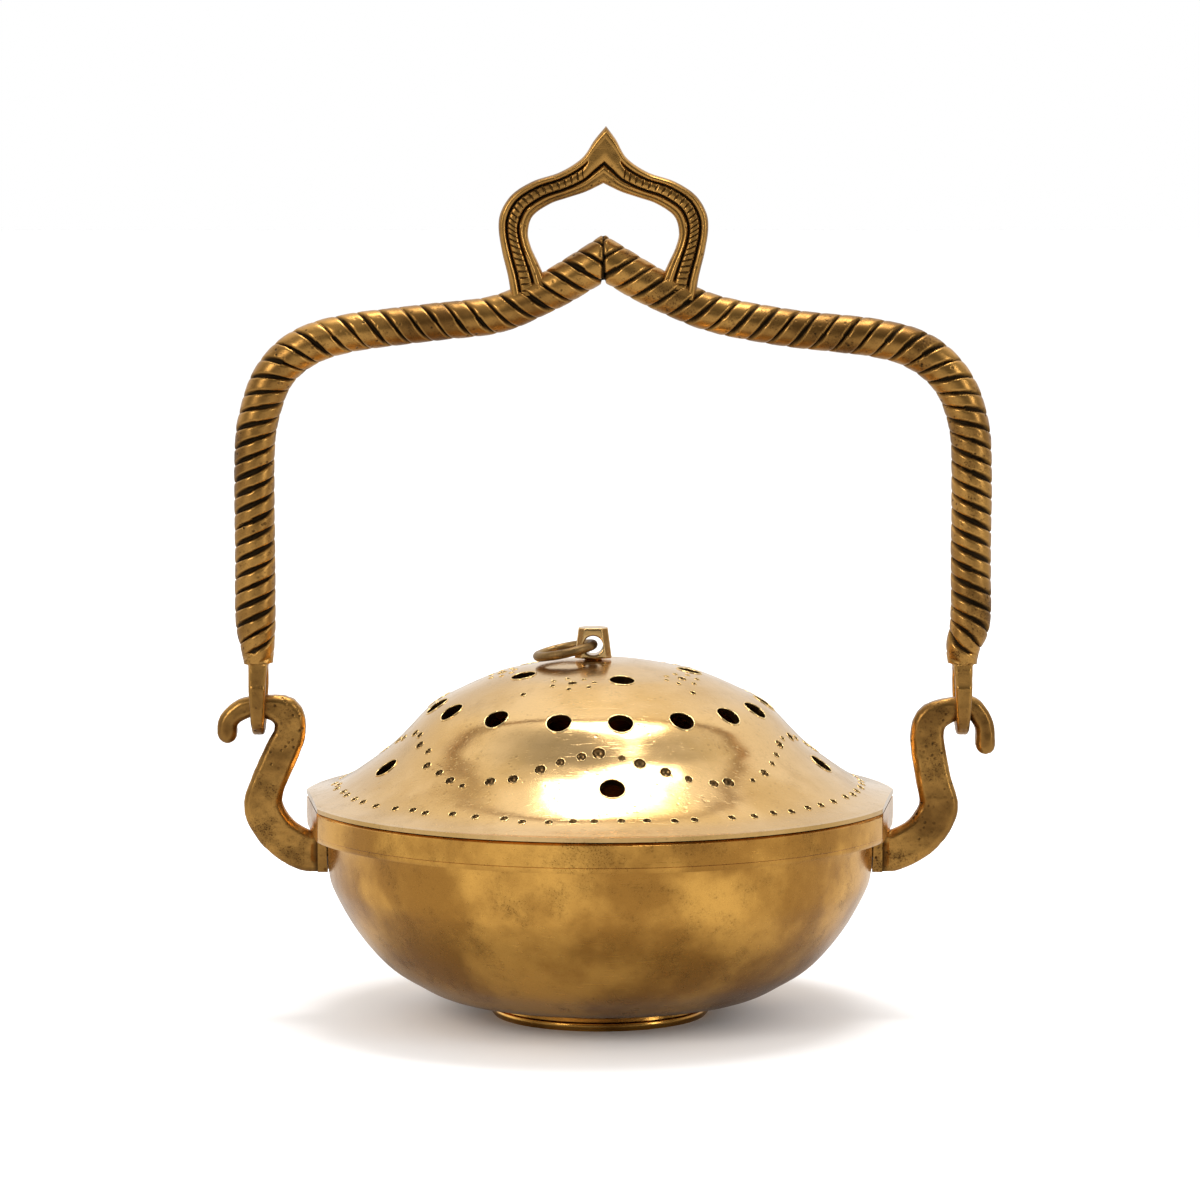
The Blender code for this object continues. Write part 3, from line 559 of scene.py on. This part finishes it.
bowl_bm = spun(bowl_profile, 200)
file_flats(bowl_bm)
piece_from(bowl_bm, "turned_bowl", bowl_brass, "bowl", ("bowl",))
foot_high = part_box("foot_ring")[1]
foot_out, foot_in = foot_high.y, foot_high.y - 4.6 * MM
foot_profile = [
    (foot_in, foot_high.z),
    (foot_out - 1.0 * MM, foot_high.z),
    (foot_out - 0.8 * MM, foot_high.z * 0.72),
    (foot_out - 0.2 * MM, foot_high.z * 0.62),
    (foot_out, foot_high.z * 0.45),
    (foot_out - 0.1 * MM, foot_high.z * 0.2),
    (foot_out - 0.6 * MM, 0),
    (foot_in + 0.6 * MM, 0),
    (foot_in, 0.6 * MM),
]
piece_from(spun(foot_profile, 120, closed=True), "turned_foot", bowl_brass, "bowl", ("foot_ring",))

# %% [markdown]
# ## Lid
# The lid is spun too, then drilled: three rings of smoke holes go right through it, and small blind pips are
# drilled in a scalloped line, in a ring near the brim and in little flowers round the crown. A single cutter
# mesh of rods and beads does all of that in one Boolean, and gives the cut faces a dark finish: painted shade
# inside the pips and holes, with some oxide. Drilling leaves a thin raised lip round each mark, finished brighter:
# fresh metal, with a painted highlight for the bright rings.

# %% Lid profile
lid_edge, lid_wall = 1.0 * MM, 1.7 * MM
lid_rise = lid_top - seat - lid_edge
lid_curve = (
    (0.0, 1.0), (0.14, 0.985), (0.30, 0.918), (0.37, 0.872), (0.47, 0.775), (0.563, 0.663),
    (0.643, 0.488), (0.683, 0.398), (0.757, 0.263), (0.886, 0.078), (1.0, 0.0),
)
lid_outside = smooth_line([(s * rim_radius, seat + lid_edge + rise * lid_rise) for s, rise in lid_curve], 6)


lid_radii, lid_heights = np.array(lid_outside).T


def lid_height(radius):
    return float(np.interp(radius, lid_radii, lid_heights))


def lid_point(radius, degrees):
    """A point of the lid's outside and the way out of it there. Angles run from the front to the right."""
    angle = math.radians(degrees - 90)
    away = Vector((math.cos(angle), math.sin(angle), 0))
    slope = (lid_height(radius + MM / 2) - lid_height(abs(radius - MM / 2))) / MM
    return away * radius + Vector((0, 0, lid_height(radius))), (Vector((0, 0, 1)) - away * slope).normalized()


lid_inside = [(max(r, 0), z) for r, z in shifted(lid_outside, -lid_wall) if r < 58 * MM and z > seat]
lid_inside[0] = (0, lid_inside[0][1])
lid_bm = spun([*lid_outside, (rim_radius, seat), (lid_inside[-1][0], seat), *reversed(lid_inside)], 180)
file_flats(lid_bm)
print("lid faces before drilling", len(lid_bm.faces))

# %% Where the lid is drilled
hole_rings = {
    0.300: (14, 86, 158, 229, 302),
    0.551: (7, 29, 50, 69, 90, 111, 133, 155, 177, 199, 221, 242, 261, 279, 297, 322, 346),
    0.754: (3, 78, 147, 219, 290),
}
smoke_holes = [(share * rim_radius, angle) for share, angles in hole_rings.items() for angle in angles]


def shake(seed, amount):
    """A small repeatable unevenness for work marked out by hand."""
    return noise.noise(Vector((seed * 7.31, seed * 1.7, 0.5))) * amount


pips = []
scallop_count, brim_count = 62, 66
for i in range(scallop_count):
    angle = 360 * i / scallop_count
    radius = (49 - 4 * math.cos(math.radians(5 * angle)) + shake(i, 1.0)) * MM
    pips.append((radius, angle + shake(i + 90, 2.0), (1.12 + shake(i + 40, 0.6)) * MM))
for i in range(brim_count):
    pips.append(((62 + shake(i + 7, 1.0)) * MM, 360 * (i + shake(i + 21, 0.5)) / brim_count, 1.0 * MM))
for k in range(5):
    petal_middle = -16 + 72 * k
    pips.append((23 * MM, petal_middle, 1.15 * MM))
    for j in range(7):
        turn = math.tau * j / 7 + k
        along, side = 3.0 * math.cos(turn), 5.2 * math.sin(turn)
        pips.append(((23 + along) * MM, petal_middle + math.degrees(side / 23), 0.65 * MM))
pips.append((rim_radius * 0.42, -37, 0.8 * MM))
pips.append((rim_radius * 0.42, 47, 0.8 * MM))


def clear_of_holes(pip):
    at = lid_point(pip[0], pip[1])[0]
    return all((at - lid_point(*hole)[0]).length > 4.6 * MM for hole in smoke_holes)


pips = [pip for pip in pips if clear_of_holes(pip)]
print("smoke holes", len(smoke_holes), "pips", len(pips))

# %% Drill the lid
drill = bmesh.new()
hole_radius = 3.0 * MM
for radius, angle in smoke_holes:
    at, out = lid_point(radius, angle)
    turn = out.to_track_quat("Z", "Y").to_matrix().to_4x4()
    bmesh.ops.create_cone(
        drill, cap_ends=True, segments=28, radius1=hole_radius, radius2=hole_radius, depth=12 * MM,
        matrix=Matrix.Translation(at - out * 2 * MM) @ turn,
    )
for radius, angle, size in pips:
    at, out = lid_point(radius, angle)
    bmesh.ops.create_uvsphere(
        drill, u_segments=16, v_segments=10, radius=size * 1.04,
        matrix=Matrix.Translation(at + out * size * 0.28) @ out.to_track_quat("Z", "Y").to_matrix().to_4x4(),
    )
drill_mesh = bpy.data.meshes.new("drill")
drill.to_mesh(drill_mesh)
drill.free()
# The cut faces take the dark finish: painted shade inside the pips and smoke holes, with some oxide.
drill_mesh.materials.append(shaded_hollow_brass)
drill_piece = bpy.data.objects.new("drill", drill_mesh)
bpy.context.scene.collection.objects.link(drill_piece)
lid = piece_from(lid_bm, "drilled_lid", lid_brass, "lid", ("lid",))
cut = lid.modifiers.new("Drill", "BOOLEAN")
cut.operation = "DIFFERENCE"
cut.solver = "EXACT"
cut.material_mode = "TRANSFER"
cut.object = drill_piece
lid_mesh = evaluated(lid)
bpy.data.objects.remove(drill_piece)
print("lid faces after drilling", len(lid_mesh.polygons), [m.name for m in lid_mesh.materials])

# %% Keep the lid's reflections smooth between the drillings
lid_mesh.shade_smooth()
corners = values_of(lid_mesh.vertices, "co", 3)
corner_reach = np.linalg.norm(corners[:, :2], axis=1)
outer_heights = np.interp(corner_reach + MM, lid_radii, lid_heights)
inner_heights = np.interp(corner_reach - MM, lid_radii, lid_heights)
slopes = (outer_heights - inner_heights) / (2 * MM)
turned_out = np.concatenate(
    (-corners[:, :2] / np.maximum(corner_reach, 1e-6)[:, None] * slopes[:, None], np.ones((len(corners), 1))), axis=1
)
turned_out /= np.linalg.norm(turned_out, axis=1, keepdims=True)
corner_normals = []
for face in lid_mesh.polygons:
    radius = math.hypot(face.center.x, face.center.y)
    level = abs(face.center.z - lid_height(radius)) < 0.12 * MM and radius < rim_radius - 0.05 * MM
    for vertex in face.vertices:
        corner_normals.append(turned_out[vertex] if level and face.material_index == 0 else face.normal)
lid_mesh.normals_split_custom_set([tuple(n) for n in corner_normals])
print("corner normals", len(corner_normals))


# %% Raised lips
def add_lip(bm, radius, angle, size, wire, sides):
    """A thin ring of metal round a drilled mark, laid on the lid's curve."""
    at, out = lid_point(radius, angle)
    ring = bmesh.ops.create_circle(bm, cap_ends=False, segments=5, radius=wire)["verts"]
    turn = out.to_track_quat("Z", "Y").to_matrix().to_4x4()
    stand = Matrix.Rotation(math.pi / 2, 4, "X")
    bmesh.ops.transform(bm, matrix=turn @ Matrix.Translation((size, 0, 0)) @ stand, verts=ring)
    edges = list({edge for v in ring for edge in v.link_edges})
    bmesh.ops.translate(bm, vec=at, verts=ring)
    before = set(bm.verts) - set(ring)
    bmesh.ops.spin(bm, geom=[*ring, *edges], axis=out, cent=at, angle=math.tau, steps=sides, use_merge=True)
    for v in set(bm.verts) - before:
        off = v.co - at
        flat = off - out * off.dot(out)
        near = at + flat
        v.co.z += lid_height(min(math.hypot(near.x, near.y), rim_radius)) - near.z


lip_bm = bmesh.new()
for radius, angle in smoke_holes:
    add_lip(lip_bm, radius, angle, hole_radius + 0.02 * MM, 0.20 * MM, 28)
for radius, angle, size in pips:
    add_lip(lip_bm, radius, angle, size, 0.12 * MM, 12)
bmesh.ops.remove_doubles(lip_bm, verts=lip_bm.verts, dist=1e-6)
bmesh.ops.recalc_face_normals(lip_bm, faces=lip_bm.faces)
piece_from(lip_bm, "drilled_lips", highlit_lip_brass, "lid", sharp=80)

# %% [markdown]
# ## Lug and lifting ring
# The lug is a filed post with heavy chamfers and a cross hole. The ring is a bent wire, a little uneven, that
# hangs through the hole and lies over on the lid.

# %% Lug and ring
lug_bm = cast_copy("lid_lug", 0.22 * MM, 0.03 * MM)
lug = piece_from(lug_bm, "filed_lug", lid_brass, "lid", ("lid_lug",), sharp=60)
store_relief(lug.data, 5.0)
ring_place = Vector(joints["lid_ring_turn"]["pos_m"])
ring_droop, ring_radius, ring_wire = math.radians(12.0), 6.7 * MM, 1.08 * MM
ring_bm = bmesh.new()
wire = bmesh.ops.create_circle(ring_bm, cap_ends=False, segments=18, radius=ring_wire)["verts"]
bmesh.ops.rotate(ring_bm, verts=wire, cent=(0, 0, 0), matrix=Matrix.Rotation(math.pi / 2, 3, "X"))
bmesh.ops.translate(ring_bm, verts=wire, vec=(ring_radius, 0, 0))
bmesh.ops.spin(
    ring_bm, geom=[*ring_bm.verts, *ring_bm.edges], axis=(0, 0, 1), cent=(0, 0, 0), angle=math.tau, steps=72,
    use_merge=True,
)
for v in ring_bm.verts:
    thin = 1 + 0.05 * noise.noise(v.co * 260.0)
    v.co.z *= thin
ring_bm.transform(
    Matrix.Translation(ring_place) @ Matrix.Rotation(-ring_droop, 4, "Y") @ Matrix.Translation((-ring_radius, 0, 0))
)
bmesh.ops.recalc_face_normals(ring_bm, faces=ring_bm.faces)
piece_from(ring_bm, "wire_ring", dull_brass, "lid_ring", ("lid_ring",))

# %% [markdown]
# ## Hooks
# Each hook is a flat bar cast in a swan's neck and filed along its edges. The node's copy, remeshed and
# lightly dented, has those soft edges, and the mask brightens them as rubbed metal and as a painted highlight
# on the chamfers. A crease darkens the root where it meets its pad: painted shade for the gap there.

# %% Hooks
for side, word in ((-1, "left"), (1, "right")):
    hook_bm = cast_copy("hook_" + word, 0.38 * MM, 0.14 * MM)
    root = min(abs(corner.x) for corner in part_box("hook_" + word))
    for v in hook_bm.verts:
        if abs(v.co.x) < root + 0.9 * MM:
            v.co.x = side * (root - 0.3 * MM)  # the root closes up to its pad, as brazing does
    hook = piece_from(hook_bm, "filed_hook_" + word, aged_brass, "bowl", ("hook_" + word,), sharp=70)
    # The crease darkens the root where it meets its pad: painted shade for the gap between them.
    store_relief(hook.data, 5.5, crease=lambda p: 1.5 - (np.abs(p[:, 0]) - root) / (0.7 * MM))

# %% [markdown]
# ## Bail
# Each arm is a round bar with three grooves chiselled round it in a long twist. A ring of points is extruded
# along the arm's line, step by step, and each point is moved in where a groove passes. The depth is stored
# as the groove mask, so the black stays exactly in the cuts. A thin line beside each cut goes into the wear
# mask: a painted highlight on the cut's lip.


# %% The arms' line
crook = {-1: -(rim_radius + 10.3 * MM), 1: rim_radius + 15.2 * MM}
peak_shift, peak_z = 0.8 * MM, pivot_z + 104.7 * MM
rope = 9.5 * MM


def arm_line(side):
    """Points of (x, z, diameter) from just above the eye to past the middle."""
    leg = crook[side] + side * (0.6 if side < 0 else 1.8) * MM
    run = abs(leg) - peak_shift * side
    top = peak_z - (0.0 if side < 0 else 1.2 * MM)
    return [
        (crook[side], pivot_z + 10.2 * MM, 6.9 * MM),
        (crook[side] + side * 0.2 * MM, pivot_z + 14.5 * MM, rope * 0.86),
        (leg, pivot_z + 20.5 * MM, rope),
        (leg, pivot_z + (peak_z - pivot_z) * 0.33, rope),
        (leg, peak_z - 47.0 * MM, rope),
        (leg - side * 1.0 * MM, peak_z - 37.0 * MM, rope),
        (leg - side * 4.6 * MM, top - 27.0 * MM, rope),
        (leg - side * 11.5 * MM, top - 20.5 * MM, rope),
        (leg - side * 22.0 * MM, top - 17.0 * MM, rope * 0.95),
        (peak_shift + side * run * 0.50, top - 14.5 * MM, rope * 0.93),
        (peak_shift + side * run * 0.31, peak_z - 12.6 * MM, rope * 0.93),
        (peak_shift + side * run * 0.19, peak_z - 8.6 * MM, rope * 0.95),
        (peak_shift + side * run * 0.08, peak_z - 3.6 * MM, rope),
        (peak_shift - side * 6.0 * MM, peak_z + 4.3 * MM, rope),
    ]


def even_steps(line, step):
    """The line's points again, a step apart."""
    even, carried = [line[0]], 0.0
    for before, after in zip(line, line[1:]):
        length = math.hypot(after[0] - before[0], after[1] - before[1])
        while carried + length >= step:
            share = (step - carried) / length
            before = tuple(a + (b - a) * share for a, b in zip(before, after))
            even.append(before)
            length = math.hypot(after[0] - before[0], after[1] - before[1])
            carried = 0.0
        carried += length
    return even


def sweep(rings):
    """A skin over rings of points: the first is drawn, and each later one is extruded from the last."""
    bm = bmesh.new()
    verts = [bm.verts.new(p) for p in rings[0]]
    edges = [bm.edges.new((verts[i], verts[i - 1])) for i in range(len(verts))]
    order = list(verts)
    for ring in rings[1:]:
        made = bmesh.ops.extrude_edge_only(bm, edges=edges)["geom"]
        fresh = {v for v in made if isinstance(v, bmesh.types.BMVert)}
        edges = [e for e in made if isinstance(e, bmesh.types.BMEdge) and all(v in fresh for v in e.verts)]
        order = [next(e.other_vert(v) for e in v.link_edges if e.other_vert(v) in fresh) for v in order]
        for v, p in zip(order, ring):
            v.co = p
    bmesh.ops.holes_fill(bm, edges=bm.edges)
    bmesh.ops.recalc_face_normals(bm, faces=bm.faces)
    return bm


print("arm length", round(len(even_steps(smooth_line(arm_line(-1), 8), MM)) * MM, 3))

# %% The twisted arms
strands, around, step = 3, 60, 0.24 * MM
for side, word in ((-1, "left"), (1, "right")):
    line = even_steps(smooth_line(arm_line(side), 10), step)
    rings, cuts, ridges, twist = [], [], [], 0.0
    for i, (x, z, diameter) in enumerate(line):
        ahead, back = line[min(i + 1, len(line) - 1)], line[max(i - 1, 0)]
        along = Vector((ahead[0] - back[0], 0, ahead[1] - back[1])).normalized()
        front = Vector((0, -1, 0))
        across = along.cross(front)
        upright = abs(along.z)
        twist += step / ((3.8 + 1.2 * (1 - upright)) * MM)
        grown = min(i * step / (5 * MM), 1.0)
        ring = []
        for j in range(around):
            turn = math.tau * j / around
            phase = twist + side * strands * turn / math.tau
            mark = round(phase)
            off = abs(phase - mark)
            lens = abs(math.cos(turn)) ** 0.6
            wander = noise.noise(Vector((x * 240, z * 240, mark * 1.3))) * 0.05
            chisel = 0.20 + 0.80 * lens + shake(mark * 3 + side, 0.3)
            cut_width = (0.115 + 0.055 * upright + shake(mark * 5 + 11, 0.09) + wander) * (0.18 + 0.82 * lens)
            cut_depth = min(1.0, 2.4 * max(0.0, 1 - off / cut_width)) * chisel * grown
            swell = max(0.0, 1 - off / 0.30) ** 2
            way = front * math.cos(turn) + across * math.sin(turn)
            out = diameter / 2 - (0.95 * cut_depth + 0.20 * swell * grown) * MM
            out += noise.noise(Vector((x, z, turn * 0.004)) * 300.0) * 0.08 * MM
            at = Vector((x, 0, z)) + way * out
            seam = max(0.0, 1 - abs(at.x - peak_shift) / (0.6 * MM))
            ring.append(at - way * seam * 0.7 * MM)
            cuts.append(max((cut_depth - 0.18) * 2.6, seam * 2.2 - 0.3))
            # A thin bright line beside each cut, strongest where the bar faces front and back: a painted highlight on
            # the cut's lip.
            ridges.append(max(0.0, 1 - abs(off - cut_width - 0.05) / 0.05) * grown * lens)
        rings.append(ring)
    arm_bm = sweep(rings)
    groove_layer = arm_bm.verts.layers.float.new("groove")
    wear_and_highlight_layer = arm_bm.verts.layers.float.new("wear_and_highlight")
    for v, depth, ridge in zip(arm_bm.verts, cuts, ridges):
        v[groove_layer] = min(max(depth, 0.0), 1.0)
        v[wear_and_highlight_layer] = min(ridge, 1.0)
    bmesh.ops.bisect_plane(
        arm_bm, geom=[*arm_bm.verts, *arm_bm.edges, *arm_bm.faces],
        plane_co=(peak_shift - side * 0.02 * MM, 0, 0), plane_no=(-side, 0, 0), clear_outer=True,
    )
    bmesh.ops.holes_fill(arm_bm, edges=arm_bm.edges)
    piece_from(arm_bm, "twisted_arm_" + word, aged_brass, "bail", ("bail_arm_" + word,), sharp=75)
    eye_bm = cast_copy("bail_arm_" + word, 0.34 * MM, 0.08 * MM, below=pivot_z + 13 * MM)
    for v in eye_bm.verts:
        notch = max(0.0, 1 - abs(v.co.z - pivot_z - 10.9 * MM) / (0.9 * MM))
        v.co.y -= math.copysign(min(abs(v.co.y), 0.55 * MM * notch), v.co.y)
    eye = piece_from(eye_bm, "eye_" + word, aged_brass, "bail", sharp=70)
    store_relief(eye.data, 4.5, crease=lambda p: 1.3 - np.abs(p[:, 2] - pivot_z - 10.9 * MM) / (0.6 * MM))

# %% [markdown]
# ## Finger loop
# The loop is cast with a raised bead along its outer edge, a groove, a milled band with fine rungs, another
# groove and a plain bead round the opening. A cross-section with those steps is swept from one foot over the
# tip to the other foot, and every second step of the band is lowered to make the rungs.

# %% Loop
half_width, loop_rise, loop_wall, half_thick = 24.4 * MM, 31.2 * MM, 6.8 * MM, 3.68 * MM
inner_half = half_width - loop_wall
outer_half_line = [
    (0, loop_rise), (2.5 * MM, loop_rise - 3.2 * MM), (5.2 * MM, loop_rise - 7.4 * MM),
    (10.2 * MM, loop_rise - 10.7 * MM), (16.4 * MM, loop_rise - 12.8 * MM),
    (half_width - 3.2 * MM, loop_rise - 15.8 * MM), (half_width - 0.6 * MM, loop_rise - 19.7 * MM),
    (half_width, loop_rise - 23.6 * MM), (half_width - 0.8 * MM, loop_rise - 29.1 * MM),
    (half_width - 2.2 * MM, loop_rise - 35.0 * MM), (half_width - 3.0 * MM, loop_rise - 40.5 * MM),
]
inner_half_line = [
    (0, loop_rise - 13.2 * MM), (1.6 * MM, loop_rise - 14.0 * MM), (4.4 * MM, loop_rise - 15.3 * MM),
    (8.4 * MM, loop_rise - 16.6 * MM), (12.4 * MM, loop_rise - 18.0 * MM),
    (inner_half - 1.2 * MM, loop_rise - 20.8 * MM), (inner_half, loop_rise - 24.6 * MM),
    (inner_half - 0.7 * MM, loop_rise - 28.1 * MM), (inner_half - 2.3 * MM, loop_rise - 31.6 * MM),
    (inner_half - 3.6 * MM, loop_rise - 34.6 * MM), (inner_half - 4.8 * MM, loop_rise - 38.5 * MM),
]
SECTION = (  # share of the way from the outer edge to the inner, share of the half thickness, groove mask
    (0.0, 0.55, 0.0), (0.03, 0.80, 0.0), (0.08, 0.97, 0.0), (0.14, 1.0, 0.0), (0.20, 0.95, 0.0), (0.222, 0.88, 0.1),
    (0.24, 0.60, 1.0), (0.28, 0.60, 1.0), (0.298, 0.84, 0.1), (0.34, 0.90, 0.0), (0.43, 0.92, 0.0), (0.54, 0.92, 0.0),
    (0.60, 0.88, 0.0), (0.616, 0.84, 0.1), (0.632, 0.60, 1.0), (0.672, 0.60, 1.0), (0.690, 0.84, 0.1),
    (0.74, 0.95, 0.0), (0.80, 0.93, 0.0), (0.835, 0.84, 0.5), (0.87, 0.86, 0.1), (0.92, 0.84, 0.0), (0.97, 0.72, 0.0),
    (1.0, 0.55, 0.0),
)
outer_half = smooth_line(outer_half_line, 26)
inner_half_points = smooth_line(inner_half_line, 26)
stations = [
    *[((-a, b), (-c, d)) for (a, b), (c, d) in zip(reversed(outer_half), reversed(inner_half_points))],
    *[(o, i) for o, i in zip(outer_half[1:], inner_half_points[1:])],
]
rings, cuts, ridges = [], [], []
for index, (outer, inner) in enumerate(stations):
    apex = max(0.0, 1 - math.hypot(outer[0], loop_rise - outer[1]) / (9 * MM))
    plain = min(1.0, apex * 4)  # the outer groove runs out in a plain field below the tip
    rung = (index % 8 < 2) * (apex == 0)
    front_row, back_row = [], []
    for share, thick, mask in SECTION:
        if 0.15 < share < 0.55:
            thick, mask = thick + (0.95 - thick) * plain, mask * (1 - plain)
        x = outer[0] + (inner[0] - outer[0]) * share
        z = outer[1] + (inner[1] - outer[1]) * share
        lean = 0.6 * MM * max(0.0, 1 - (loop_rise - z) / (12 * MM))
        band = 0.30 < share < 0.58
        depth = half_thick * (thick - 0.11 * rung * band)
        depth += noise.noise(Vector((x, z, 0)) * 500.0) * 0.05 * MM - 0.04 * MM
        at = (peak_shift + x + lean, peak_z + z)
        groove = min(1.0, mask + 0.75 * rung * band)
        ridge = 1.0 if thick > 0.9 else 0.0
        front_row.append((Vector((at[0], -depth, at[1])), groove, ridge))
        back_row.append((Vector((at[0], depth, at[1])), groove, ridge))
    full = [*front_row, *reversed(back_row)]
    rings.append([p for p, _, _ in full])
    cuts += [g for _, g, _ in full]
    ridges += [w for _, _, w in full]
loop_bm = sweep(rings)
groove_layer = loop_bm.verts.layers.float.new("groove")
wear_and_highlight_layer = loop_bm.verts.layers.float.new("wear_and_highlight")
for v, depth, ridge in zip(loop_bm.verts, cuts, ridges):
    v[groove_layer] = depth
    v[wear_and_highlight_layer] = ridge * 0.8
piece_from(loop_bm, "cast_loop", aged_brass, "bail", ("finger_loop",), sharp=60)

# %% [markdown]
# ## What is left of the working model
# The spigot, the pads and the screws already have their real shape, so they only get their brass.

# %% Finishes on the plain nodes
for name, finish in (
    ("lid_spigot", dull_brass), ("hook_pad_left", aged_brass), ("hook_pad_right", aged_brass),
    ("hook_screw_left", dull_brass), ("hook_screw_right", dull_brass),
):
    nodes[name].material_slots[0].material = finish
print("plain nodes finished")

# %% Compare the boxes and finish
visual_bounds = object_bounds()
for name, bounds in (("cad", cad_bounds), ("visual", visual_bounds)):
    print(name, [[round(v, 4) for v in corner] for corner in bounds])
